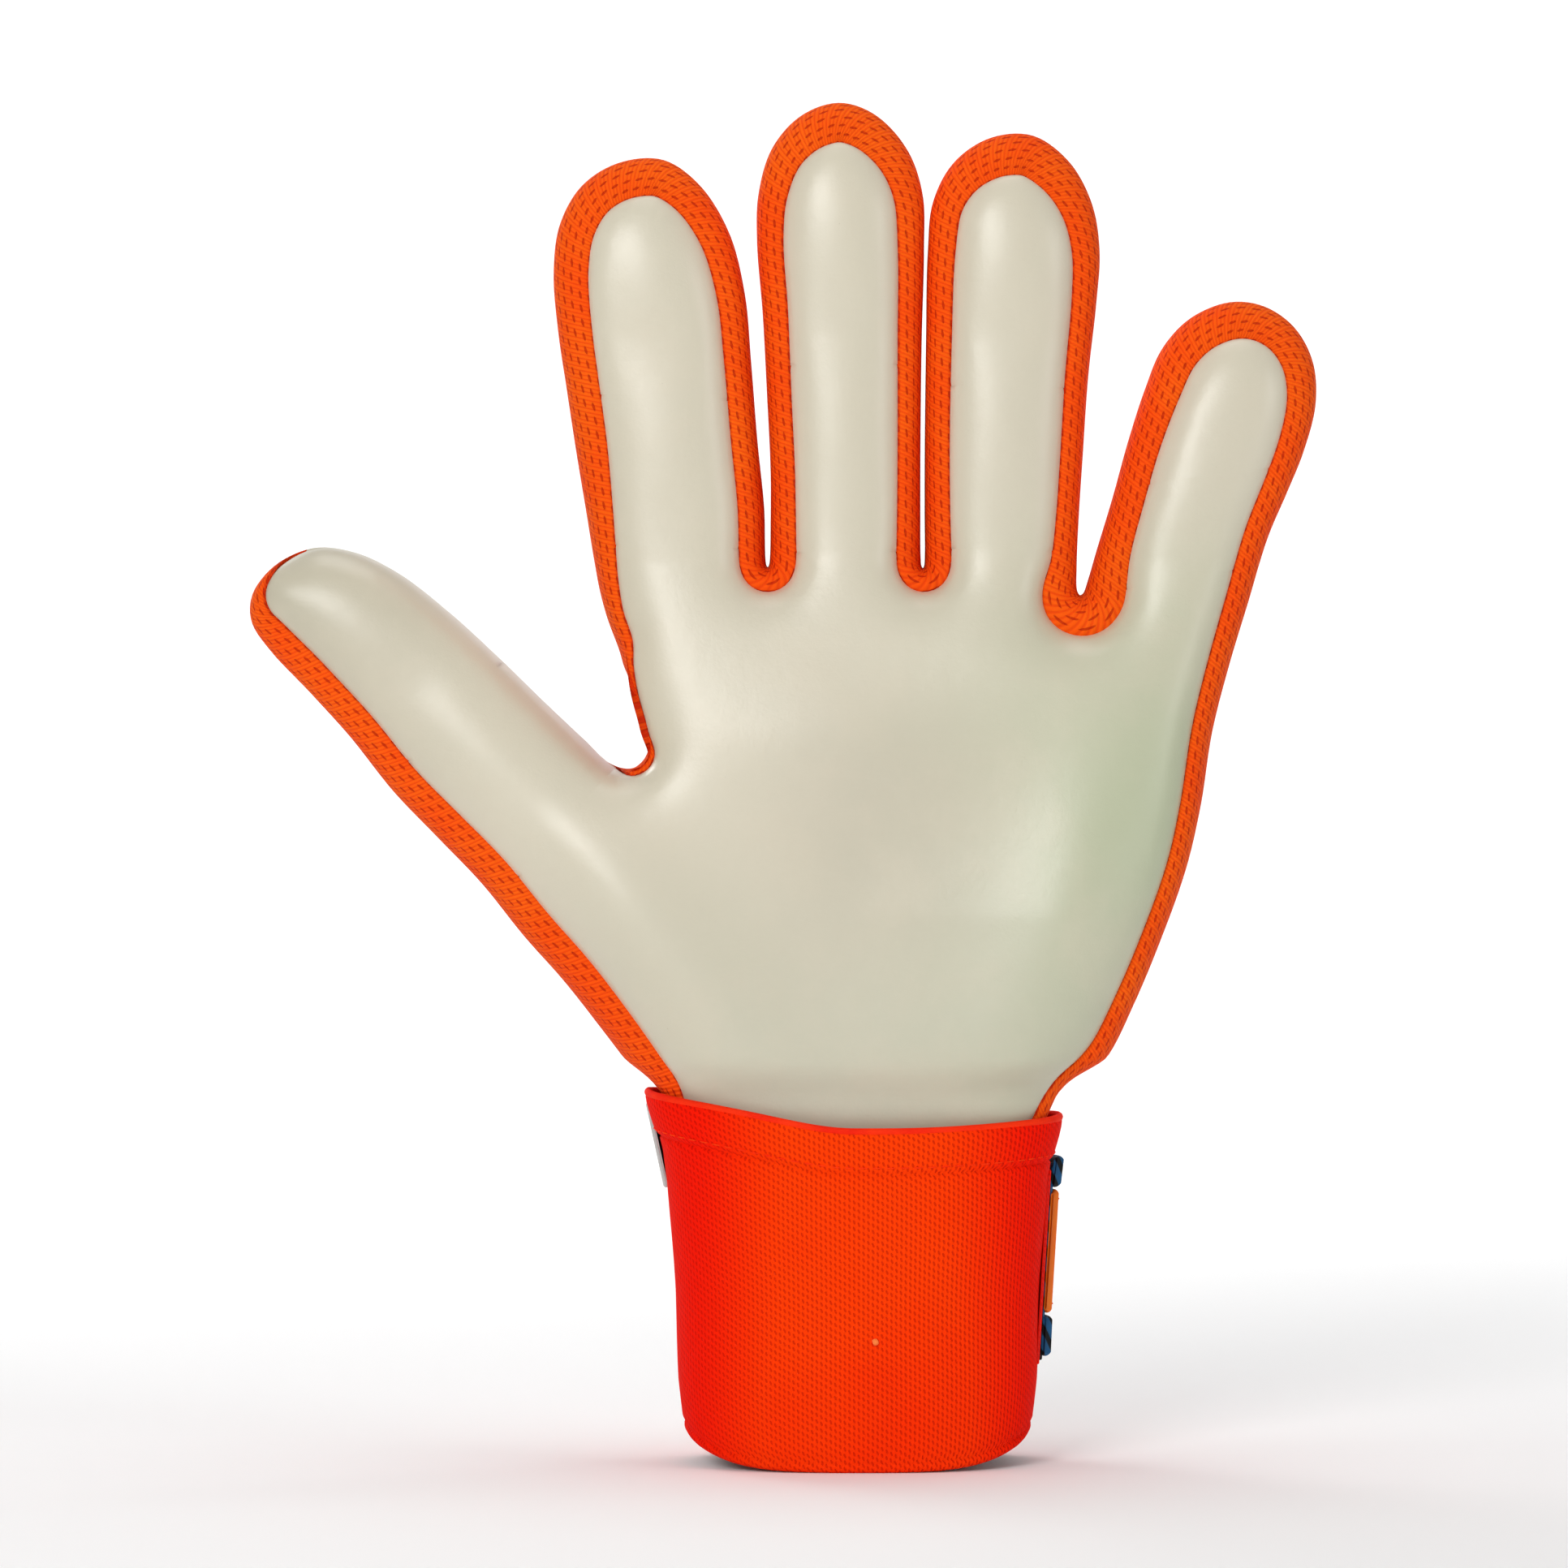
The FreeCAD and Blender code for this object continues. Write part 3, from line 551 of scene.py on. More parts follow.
def sheet_surface(side):
    """The whole palm-side or back sheet: points, faces and the field that says how far in they lie."""
    loop = LATEX if side == 0 else BACK
    cuts = [cut for digit in DIGITS.values() for cut in digit.cuts]
    plane, faces = mesh_plane(loop, cuts)
    on_loop = nearest_distance(plane, loop) < 1e-3
    wrist = (plane[:, 1] < WRIST_Z + 0.6) & (np.abs(plane[:, 0]) < 31.0)
    u = swell(plane, faces, np.nonzero(on_loop & ~wrist)[0], ROUNDING)
    wide = np.clip(1 - (1 - u) ** 2, 0, 1)
    power = FULLNESS[side]
    if side == 0:
        power = power + (0.5 - power) * wrap_near(plane)
    rise = wide ** power
    y = seam_y(plane, side)
    height = crown_height(plane, side)
    relief = (palm_relief if side == 0 else back_relief)(plane) * smoothstep(0.1, 0.9, u)
    y = y - (height * rise + relief) if side == 0 else y + (height * rise + relief)
    points = tuck(np.stack([plane[:, 0], y, plane[:, 1]], 1))
    forward = twice_area(plane, faces) > 0
    if side == 1:
        forward = ~forward
    faces = np.where(forward[:, None], faces, faces[:, ::-1])
    return plane, points, faces


def region_of(plane, faces, loop):
    """For each face: the digit segment it belongs to, or the palm."""
    middle = plane[faces].mean(1)
    label = np.full(len(faces), "palm", dtype=object)
    for digit in DIGITS.values():
        (r0, l0), (r1, l1) = digit.cuts
        whole = loop[r0:l0 + 1]
        tip = loop[r1:l1 + 1]
        label[inside(middle, whole)] = digit.name + "_base"
        label[inside(middle, tip)] = digit.name + "_tip"
    return label


def attach(piece, region):
    """Bakes a piece's placement into its mesh, the same for the palm and for a digit's segment."""
    if region == "palm":
        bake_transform(piece)
        return
    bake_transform(piece)


# ---- edge strips ----------------------------------------------------------------------------------
STRIP_SECTIONS = 25
WRAP_FADE = 9                          # outline points over which the strip goes under the latex
TUCKED = -24                           # degrees round the side: under the latex's edge,
SIDE_MIDDLE = 90                       # the middle of the side,
STRIP_GONE = 203                       # where no strip is left,
STRIP_BACK = 204                       # and the back sheet


def wrapped_span():
    """The first and last point of the stretch of edge where the latex wraps over the side."""
    wrapped = np.nonzero(WRAP > 0.98)[0]
    return int(wrapped[0]), int(wrapped[-1])


def strip_start():
    """Where the strip begins round the side, in degrees. The latex runs that far over the thumb."""
    on, off = wrapped_span()
    at = np.arange(len(EDGE))
    deep = smoothstep(0, WRAP_FADE, np.minimum(at - on, off - at).astype(float))
    return TUCKED + (SIDE_MIDDLE - TUCKED) * WRAP + (STRIP_GONE - SIDE_MIDDLE) * deep


def side_points(turn):
    """Points of the hand's rounded side: a row of angles in degrees for each point of the outline."""
    y_front, y_back = seam_y(LATEX, 0)[:, None], seam_y(BACK, 1)[:, None]
    wrap = WRAP[:, None]
    centre = (y_front + y_back) / 2 * (1 - wrap) + y_front * wrap
    front = centre - y_front + 0.7 * (1 - wrap)
    back = y_back - centre + 0.7
    c, s = np.cos(np.radians(turn)), np.sin(np.radians(turn))
    reach = np.abs(c) ** 0.8
    y = np.where(c > 0, centre - front * reach, centre + back * reach)
    seam = np.exp(-((turn - 131) / 7) ** 2) * (1 - 0.6 * wrap)
    out = np.where(s > 0, np.abs(s) ** 0.8, 0.35 * s)[:, :, None]
    anchor = np.where((turn < 90)[:, :, None], LATEX[:, None], BACK[:, None])
    inward = ((BACK - EDGE) / BACK_INSET)[:, None]
    xz = anchor + (EDGE[:, None] - anchor) * out + inward * 0.55 * seam[:, :, None]
    points = tuck(np.stack([xz[:, :, 0].ravel(), y.ravel(), xz[:, :, 1].ravel()], 1))
    return points.reshape(len(EDGE), -1, 3)


def strip_surface():
    """The padded strip between the two sheets all round the hand, as a grid of points along by across."""
    first = strip_start()[:, None]
    grid = side_points(first + (STRIP_BACK - first) * np.linspace(0, 1, STRIP_SECTIONS))
    along = length_along(grid[:, STRIP_SECTIONS // 4])
    width = np.linalg.norm(np.diff(grid, axis=1), axis=2)
    reach = np.concatenate([np.zeros((len(EDGE), 1)), np.cumsum(width, 1)], 1)
    along = np.repeat(along[:, None], STRIP_SECTIONS, 1)
    tape = np.stack([along, reach, np.repeat(reach[:, -1:], STRIP_SECTIONS, 1)], 2)
    return grid, tape


def strip_faces(start, stop):
    """Faces of the strip's grid between two points along it."""
    i = np.arange(start, stop)[:, None] * STRIP_SECTIONS
    j = np.arange(STRIP_SECTIONS - 1)[None, :]
    a = (i + j).ravel()
    return np.stack([a, a + 1, a + STRIP_SECTIONS + 1, a + STRIP_SECTIONS], 1)


# ---- the hand's pieces ----------------------------------------------------------------------------
def wrapped_side(count):
    """Points and triangles that carry the latex on over the thumb's side, and the region of each triangle.
    The sheet's points come first: there are count of them, and the outline's are the first of these."""
    last = np.maximum(strip_start()[:, None] + 4, 94)
    grid = side_points(SIDE_MIDDLE + (last - SIDE_MIDDLE) * np.linspace(0, 1, STRIP_SECTIONS))
    (t0, _), (t1, _) = DIGITS["thumb"].cuts
    on, off = wrapped_span()
    faces, label = [], []
    for start, stop, region in ((on, t0, "palm"), (t0, t1, "thumb_base"), (t1, off, "thumb_tip")):
        quads = strip_faces(start, stop)
        quads = np.where(quads % STRIP_SECTIONS == 0, quads // STRIP_SECTIONS, quads + count)
        faces += [quads[:, [0, 1, 2]], quads[:, [0, 2, 3]]]
        label += [region] * (2 * len(quads))
    return grid.reshape(-1, 3), np.vstack(faces), np.array(label, dtype=object)


SHEET_NODES = [
    {"palm": ["palm_latex", "thumb_root_latex"], "digit": "latex", "slot": "latex"},
    {"palm": ["backhand_panel", "thumb_root_back"], "digit": "back", "slot": "back_foam"},
]


def sheet_pieces(side, look, lining_look):
    """Splits one sheet at the flexing lines into a piece for each segment."""
    plane, points, faces = sheet_surface(side)
    loop = LATEX if side == 0 else BACK
    label = region_of(plane, faces, loop)
    if side == 0:
        more, more_faces, more_label = wrapped_side(len(points))
        points, faces = np.vstack([points, more]), np.vstack([faces, more_faces])
        label = np.concatenate([label, more_label])
    normals = vertex_normals(points, faces)
    # the groove depth goes to the foam's colour, which paints shade into the grooves
    pressed = {"pressed": np.repeat(groove_depth(plane)[:, None], 3, 1)} if side == 1 else None
    for region in sorted(set(label)):
        names = SHEET_NODES[side]
        name = names["palm"][0] if region == "palm" else f"{region}_{names['digit']}"
        own = faces[label == region]
        piece = make_piece("soft_" + name, points, own, SHEET_THICK, look, normals, pressed)
        nodes = names["palm"] if region == "palm" else [name]
        finish_piece(piece, region, nodes)
    low = (label == "palm") & (points[faces].mean(1)[:, 2] < LINING_TOP)
    under = points - normals * (SHEET_THICK + 0.1)
    lining = make_piece(f"soft_palm_lining_{side}", under, faces[low], LINING_THICK, lining_look, normals)
    finish_piece(lining, "palm", ["palm_lining"])


def finish_piece(piece, region, nodes):
    attach(piece, region)
    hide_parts(*[n for n in nodes if n in frame["nodes"]])


def strip_runs():
    """Name, first and last point, region and CAD nodes of each run of the strip."""
    (t0, t3), (_, t2) = DIGITS["thumb"].cuts
    wrap_on, wrap_off = wrapped_span()
    wrap_on, wrap_off = wrap_on + WRAP_FADE, wrap_off - WRAP_FADE
    stops = {name: DIGITS[name].cuts for name in DIGITS}
    runs = [("ulnar_edge_strip", 0, stops["little"][0][0], "palm", ["ulnar_edge_strip"])]
    forks = {"little": "fork_ring_little", "ring": "fork_middle_ring", "middle": "fork_index_middle"}
    order = ["little", "ring", "middle", "index"]
    for number, name in enumerate(order):
        (r0, l0), (r1, l1) = stops[name]
        runs.append((f"{name}_base_inner_strip", r0, r1, f"{name}_base", [f"{name}_base_strip"]))
        runs.append((f"{name}_tip_strip", r1, l1, f"{name}_tip", [f"{name}_tip_strip"]))
        runs.append((f"{name}_base_outer_strip", l1, l0, f"{name}_base", [f"{name}_base_strip"]))
        if name in forks:
            following = stops[order[number + 1]][0][0]
            runs.append((forks[name] + "_strip", l0, following, "palm", ["finger_forks"]))
    index_end = stops["index"][0][1]
    runs.append(("index_edge_strip", index_end, min(wrap_on, t0), "palm",
                 ["index_edge_strip", "thumb_web"]))
    if t0 < wrap_on:
        runs.append(("thumb_base_inner_strip", t0, wrap_on, "thumb_base", ["thumb_base_strip"]))
    runs.append(("thumb_tip_strip", wrap_off, t2, "thumb_tip", ["thumb_tip_strip"]))
    runs.append(("thumb_base_outer_strip", t2, t3, "thumb_base", ["thumb_base_strip"]))
    runs.append(("thumb_edge_strip", t3, len(EDGE) - 1, "palm", ["thumb_edge_strip"]))
    return runs


def strip_pieces(material):
    """The edge strip as one piece for each segment's side, for each fork and for each edge of the hand."""
    grid, tape = strip_surface()
    points, tape = grid.reshape(-1, 3), tape.reshape(-1, 3)
    normals = vertex_normals(points, strip_faces(0, len(EDGE) - 1))
    for name, start, stop, region, nodes in strip_runs():
        faces = strip_faces(start, stop)
        piece = make_piece("soft_" + name, points, faces, STRIP_THICK, material, normals, {"tape": tape})
        finish_piece(piece, region, nodes)


# ---- cuff -----------------------------------------------------------------------------------------
def cuff_point(angle, z, grow=0.0):
    """Points round the cuff's outside: polar angle from +X towards the back, height, offset outwards."""
    wide = np.interp(z, *np.array(CUFF_WIDTH).T) + grow
    deep = np.interp(z, *np.array(CUFF_DEPTH).T) + grow
    c, s = np.cos(angle), np.sin(angle)
    r = ((np.abs(c) / wide) ** CUFF_SQUARE + (np.abs(s) / deep) ** CUFF_SQUARE) ** (-1 / CUFF_SQUARE)
    return np.stack([r * c + CUFF_SHIFT, r * s, z * np.ones_like(c)], -1)


def even_angles(start, end, pitch):
    """Polar angles in degrees spaced evenly along the cuff's line."""
    fine = np.radians(np.linspace(start, end, 2000))
    line = cuff_point(fine, np.full(2000, 40.0))
    length = length_along(line)
    count = max(3, int(length[-1] / pitch) + 1)
    return np.interp(np.linspace(0, length[-1], count), length, fine), length[-1]


def hem_top(angle):
    """The height of the hem's upper edge round the wrist."""
    c, s = np.cos(angle), np.sin(angle)
    side = np.where(c < 0, 6.6 * np.abs(c) ** 2.2, 1.9 * np.abs(c) ** 4)
    return HEM_TOP + side + 1.2 * (s > 0) * s ** 2


def rim_low(angle):
    c = np.abs(np.cos(angle))
    return 0.9 * c ** 3 + 5.2 * c ** 10


def grid_faces(rows, columns, closed=False):
    i = np.arange(rows - 1)[:, None]
    j = np.arange(columns if closed else columns - 1)[None, :]
    k = (j + 1) % columns
    a, b = i * columns + j, i * columns + k
    c, d = (i + 1) * columns + k, (i + 1) * columns + j
    return np.stack([a.ravel(), b.ravel(), c.ravel(), d.ravel()], 1)


LOOP = 0.88                            # width of one knitted loop


def cuff_rows(heights, grows, angles):
    """A surface round the cuff: one row of points for each height and offset."""
    rows = [cuff_point(angles, h, g) for h, g in zip(heights, grows)]
    points = np.vstack(rows)
    arc = length_along(rows[len(rows) // 2])
    arc *= round(arc[-1] / LOOP) * LOOP / arc[-1]
    one = np.ones_like(arc)
    knit = np.vstack([np.stack([arc, h * one, g * one], 1) for h, g in zip(heights, grows)])
    return points, grid_faces(len(rows), len(angles)), knit


def build_cuff(material, lining):
    angles, _ = even_angles(-270, 90, 1.2)
    low, top = rim_low(angles), hem_top(angles)
    stitch = top - HEM_WIDE
    heights, grows = [], []
    for turn in np.radians([-90, -60, -30, 0, 30, 60]):
        heights.append(low + RIM_ROUND + RIM_ROUND * math.sin(turn))
        grows.append(-RIM_ROUND + RIM_ROUND * math.cos(turn))
    for share in np.linspace(0, 1, 42)[1:]:
        heights.append(low + 2 * RIM_ROUND + (stitch - 0.6 - low - 2 * RIM_ROUND) * share)
        grows.append(0.15 * math.sin(9 * share))
    hem = ((-0.1, -0.35), (0.4, 0.2), (1.0, 0.55), (2.5, 0.7), (4.5, 0.7), (6.2, 0.6), (7.2, 0.45),
           (7.9, 0.2), (8.2, -0.5))
    for rise, grow in hem:
        heights.append(stitch + rise)
        grows.append(grow)
    points, faces, knit = cuff_rows(heights, grows, angles)
    piece = make_piece("soft_cuff_band", points, faces, 1.5, material, None, {"knit": knit})
    finish_piece(piece, "palm", ["cuff_outer_band", "cuff_hem_band"])
    heights = [low + RIM_ROUND, *[low + 2 + (50 - low) * s for s in np.linspace(0, 1, 14)]]
    grows = [-1.7] + [-2.0] * 14
    points, faces, knit = cuff_rows(heights, grows, angles)
    piece = make_piece("soft_cuff_inner_band", points, faces, 0.8, lining, None, {"knit": knit})
    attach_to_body(piece, "cuff")
    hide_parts("cuff_inner_band")
    return piece


# ---- trim on the cuff and the strap ---------------------------------------------------------------
def rounded_section(low, high, inner, outer, radius, per=5):
    """A rounded rectangle of (height, offset) pairs."""
    corners = [(high - radius, outer - radius, 0), (low + radius, outer - radius, 90),
               (low + radius, inner + radius, 180), (high - radius, inner + radius, 270)]
    made = []
    for z, g, start in corners:
        for turn in np.radians(np.linspace(start, start + 90, per)):
            made.append((z + radius * math.cos(turn), g + radius * math.sin(turn)))
    return np.array(made)


def band(name, degrees, heights, inner, outer, radius, material, body, nodes, belly=0.0):
    """A soft bar lying round part of the cuff, with rounded long edges and ends."""
    angles, girth = even_angles(degrees[0], degrees[1], 1.0)
    arc = np.linspace(0, girth, len(angles))
    end = np.minimum(arc, girth - arc)
    section = rounded_section(heights[0], heights[1], inner, outer, radius)
    lift = np.sqrt(np.clip(1 - (1 - np.minimum(end / 1.6, 1)) ** 2, 0, 1))
    middle_z, middle_g = sum(heights) / 2, (inner + outer) / 2
    points, knit = [], []
    for angle, share, where in zip(angles, lift, arc):
        wide = 0.94 + 0.06 * share
        tall = 0.35 + 0.65 * share
        z = middle_z + (section[:, 0] - middle_z) * wide
        out = (section[:, 0] - middle_z) / (heights[1] - heights[0]) * 2
        crown = belly * np.clip(1 - out ** 2, 0, 1) * (section[:, 1] > middle_g)
        g = inner + (section[:, 1] - inner) * tall + crown * share
        points.append(cuff_point(np.full(len(z), angle), z, g))
        knit.append(np.stack([np.full(len(z), where), z, g], 1))
    count = len(section)
    points, knit = np.vstack(points), np.vstack(knit)
    faces = grid_faces(len(angles), count, True).tolist()
    faces += [tuple(range(count)), tuple(range(len(points) - 1, len(points) - 1 - count, -1))]
    piece = new_piece(name, points, faces, material, {"knit": knit})
    if isinstance(body, str):
        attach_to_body(piece, body)
    else:
        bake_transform(piece)
    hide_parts(*nodes)
    return piece


def stitches(name, path, outward_at, length, gap, radius, material):
    """A line of small thread stitches lying on a surface along a path."""
    along = length_along(path)
    count = int(along[-1] / (length + gap))
    verts, faces = [], []
    for number in range(count):
        start = number * (length + gap)
        at = start + length * np.array([0.0, 0.12, 0.5, 0.88, 1.0])
        centre = np.stack([np.interp(at, along, path[:, k]) for k in range(3)], 1)
        out = np.stack([np.interp(at, along, outward_at[:, k]) for k in range(3)], 1)
        out /= np.linalg.norm(out, axis=1)[:, None]
        ahead = centre[-1] - centre[0]
        ahead /= np.linalg.norm(ahead)
        across = np.cross(out, ahead)
        centre = centre + out * (np.array([-0.3, 0.35, 0.8, 0.35, -0.3]) * radius)[:, None]
        first = len(verts)
        for k, thick in enumerate((0.35, 0.85, 1.0, 0.85, 0.35)):
            for turn in np.radians(np.arange(0, 360, 60)):
                ray = math.cos(turn) * across[k] + math.sin(turn) * out[k]
                verts.append(centre[k] + radius * thick * ray)
        for k in range(4):
            for m in range(6):
                n = (m + 1) % 6
                low, high = first + 6 * k, first + 6 * k + 6
                faces.append((low + m, low + n, high + n, high + m))
        faces.append(tuple(first + m for m in range(5, -1, -1)))
        faces.append(tuple(first + 24 + m for m in range(6)))
    return new_piece(name, verts, faces, material)


def round_the_cuff(heights, grow, degrees=(-270, 90), pitch=0.8):
    """A path round the cuff and the outward direction along it."""
    angles, _ = even_angles(degrees[0], degrees[1], pitch)
    z = heights(angles) if callable(heights) else np.full(len(angles), float(heights))
    path = cuff_point(angles, z, grow)
    out = cuff_point(angles, z, grow + 1.0) - path
    return path, out


def build_cuff_trim(thread, piping_look, knot):
    path, out = round_the_cuff(lambda a: hem_top(a) - HEM_WIDE + 1.3, 0.62)
    hem = stitches("hem_stitching", path, out, 1.7, 0.9, 0.13, thread)
    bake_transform(hem)
    path, out = round_the_cuff(lambda a: hem_top(a) + 0.1, -0.35)
    up = np.array([0, 0, 1.0])
    frames = [(p, o / np.linalg.norm(o), up) for p, o in zip(path[:-1], out[:-1])]
    turns = np.linspace(0, 2 * math.pi, 10, endpoint=False)
    ring = [(0.75 * math.cos(t), 0.75 * math.sin(t)) for t in turns]
    piping = closed_sweep("hem_piping", frames, ring, piping_look)
    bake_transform(piping)
    nub = thread_nub(knot)
    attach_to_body(nub, "cuff")


def closed_sweep(name, frames, section, material):
    """A ring: the section carried round closed frames of origin, first axis and second axis."""
    points = [origin + first * a + second * b for origin, first, second in frames for a, b in section]
    rows, count = len(frames), len(section)
    faces = []
    for i in range(rows):
        for j in range(count):
            k, m = (j + 1) % count, (i + 1) % rows
            faces.append((i * count + j, i * count + k, m * count + k, m * count + j))
    return new_piece(name, points, faces, material)


def thread_nub(thread):
    """The little knot of thread low on the front of the cuff."""
    z = 25.0
    angle = np.radians([-81.0, -83.0])
    heights = np.array([z - 0.8, z + 0.9])
    path = cuff_point(angle, heights, -0.1)
    out = cuff_point(angle, heights, 0.9) - path
    return stitches("thread_nub", path, out, 1.3, 0.3, 0.6, thread)


PADS = (5.6, 140.5)                    # the pads' two ends in degrees round the cuff
PATCHES = (23, 52)                     # lower and upper edge of the hook and loop patches


def build_strap(blue, badge, patch_hook, patch_loop, tab_look, knit, thread):
    """The wrist strap in its layers, lying round the cuff: offsets are from the cuff's surface."""
    band("strap_root", (-9, 4), (19, 56), 0.02, 0.45, 0.2, knit, "cuff", ["strap_root"])
    band("loop_patch", (86, 143), PATCHES, 0.02, 0.4, 0.15, patch_loop, "cuff", ["loop_patch"])
    band("hook_patch", (91, 141), PATCHES, 0.45, 0.8, 0.15, patch_hook, "strap", ["hook_patch"])
    band("strap_band", (5, 144), (19, 57), 0.6, 1.4, 0.38, blue, "strap", ["strap_band"])
    pads = [("strap_upper_pad", (52.3, 58.4), blue, "strap_blue"),
            ("strap_badge", (28.1, 51.9), badge, "strap_orange"),
            ("strap_lower_pad", (19.8, 27.6), blue, "strap_blue")]
    for name, heights, look, slot in pads:
        band(name, PADS, heights, 1.1, 2.8, 0.8, look, "strap", [name], 1.0)
    band("strap_pull_tab", (145, 161), (24, 51), 0.7, 2.2, 0.6, tab_look, "tab", ["strap_pull_tab"],
         0.2)
    band("tab_fold", (141.5, 148), (26, 49), 1.0, 1.5, 0.24, tab_look, ("strap", "tab"), [],
         0.0)
    for label, z in (("upper", 50.0), ("lower", 29.8)):
        path, out = round_the_cuff(z, 3.1, (9, 137))
        line = stitches(f"badge_{label}_stitching", path, out, 1.8, 1.0, 0.16, thread)
        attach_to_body(line, "strap")


def build_gusset(look):
    band("wrist_gusset", (152, 183), (52.6, 68.8), 0.05, 0.7, 0.3, look, "cuff", ["wrist_gusset"],
         3.0)


# ---- raised pads on the back ----------------------------------------------------------------------
def back_y(xz):
    return crowns(xz)[1] + back_relief(xz)


def back_pad(name, corners, height, material, node, ribs=None):
    """A padded panel lying on the back: a rounded outline, swelling from its edge."""
    loop = []
    n = len(corners)
    for i, (x, z, r) in enumerate(corners):
        before = np.array(corners[i - 1][:2])
        after = np.array(corners[(i + 1) % n][:2])
        here = np.array([x, z])
        a = (before - here) / np.linalg.norm(before - here)
        b = (after - here) / np.linalg.norm(after - here)
        for t in np.linspace(0, 1, 9):
            loop.append((1 - t) ** 2 * (here + a * r) + 2 * t * (1 - t) * here + t * t * (here + b * r))
    loop = np.array(loop)
    closed = np.vstack([loop, loop[:1]])
    length = length_along(closed)
    at = np.linspace(0, length[-1], int(length[-1] / 1.0) + 1)[:-1]
    loop = np.stack([np.interp(at, length, closed[:, k]) for k in range(2)], 1)
    plane, faces = mesh_plane(loop, [], 1.2)
    on_loop = nearest_distance(plane, loop) < 1e-3
    u = swell(plane, faces, np.nonzero(on_loop)[0], 2.0)
    rise = np.sqrt(np.clip(1 - (1 - u) ** 2, 0, 1))
    lift = height * rise
    if ribs:
        lift -= ribs(plane) * rise
    y = back_y(plane) + lift - 0.1
    points = np.stack([plane[:, 0], y, plane[:, 1]], 1)
    faces = np.where((twice_area(plane, faces) < 0)[:, None], faces, faces[:, ::-1])
    down = np.tile([0.0, 1.0, 0.0], (len(points), 1))
    piece = make_piece(name, points, faces, 0.4 + lift, material, down)
    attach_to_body(piece, "palm")
    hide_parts(node)
    return piece


def punch_ribs(xz):
    """Depth of the slanting channels across the upper pad."""
    return 1.5 * np.exp(-((np.mod(xz[:, 0] + xz[:, 1] * 0.4, 12) - 6) / 1.6) ** 2)


# ---- materials ------------------------------------------------------------------------------------
def srgb(*levels):
    """A linear colour from three screen levels of 0 to 255."""
    shares = [v / 255 for v in levels]
    return tuple(v / 12.92 if v <= 0.04045 else ((v + 0.055) / 1.055) ** 2.4 for v in shares) + (1.0,)


class Shade:
    """A small builder of node materials."""

    def __init__(self, name, **sockets):
        self.material = bpy.data.materials.new(name)
        self.material.use_nodes = True
        self.tree = self.material.node_tree
        self.shader = self.tree.nodes["Principled BSDF"]
        for label, value in sockets.items():
            self.shader.inputs[label.replace("_", " ")].default_value = value

    def node(self, kind, **values):
        made = self.tree.nodes.new(kind)
        for key, value in values.items():
            setattr(made, key, value)
        return made

    def wire(self, source, target):
        self.tree.links.new(source, target)

    def put(self, socket, value):
        if isinstance(value, bpy.types.NodeSocket):
            self.wire(value, socket)
        else:
            socket.default_value = value

    def math(self, operation, a, b=0.0, c=None):
        made = self.node("ShaderNodeMath", operation=operation)
        self.put(made.inputs[0], a)
        self.put(made.inputs[1], b)
        if c is not None:
            self.put(made.inputs[2], c)
        return made.outputs[0]

    def times(self, a, b):
        return self.math("MULTIPLY", a, b)

    def place(self):
        return self.node("ShaderNodeTexCoord").outputs["Object"]

    def parts(self, vector):
        made = self.node("ShaderNodeSeparateXYZ")
        self.wire(vector, made.inputs[0])
        return made.outputs

    def field(self, label):
        return self.node("ShaderNodeAttribute", attribute_name=label).outputs["Vector"]

    def noise(self, scale, detail=3.0, vector=None, roughness=0.55):
        made = self.node("ShaderNodeTexNoise")
        self.wire(vector or self.place(), made.inputs["Vector"])
        made.inputs["Scale"].default_value = scale
        made.inputs["Detail"].default_value = detail
        made.inputs["Roughness"].default_value = roughness
        return made.outputs["Fac"]

    def cells(self, scale, vector=None, feature="F1"):
        made = self.node("ShaderNodeTexVoronoi", feature=feature)
        self.wire(vector or self.place(), made.inputs["Vector"])
        made.inputs["Scale"].default_value = scale
        return made.outputs["Distance"]

    def ramp(self, value, low, high, to_low=0.0, to_high=1.0):
        made = self.node("ShaderNodeMapRange", interpolation_type="SMOOTHSTEP")
        self.put(made.inputs["Value"], value)
        for label, v in (("From Min", low), ("From Max", high), ("To Min", to_low), ("To Max", to_high)):
            made.inputs[label].default_value = v
        return made.outputs["Result"]

    def mix(self, share, a, b):
        made = self.node("ShaderNodeMix", data_type="RGBA")
        self.put(made.inputs[0], share)
        self.put(made.inputs[6], a)
        self.put(made.inputs[7], b)
        return made.outputs[2]

    def bump(self, height, distance, strength=1.0, before=None):
        made = self.node("ShaderNodeBump")
        made.inputs["Strength"].default_value = strength
        made.inputs["Distance"].default_value = distance
        self.wire(height, made.inputs["Height"])
        if before:
            self.wire(before, made.inputs["Normal"])
        self.wire(made.outputs[0], self.shader.inputs["Normal"])
        return made.outputs[0]

    def colour(self, value):
        self.put(self.shader.inputs["Base Color"], value)


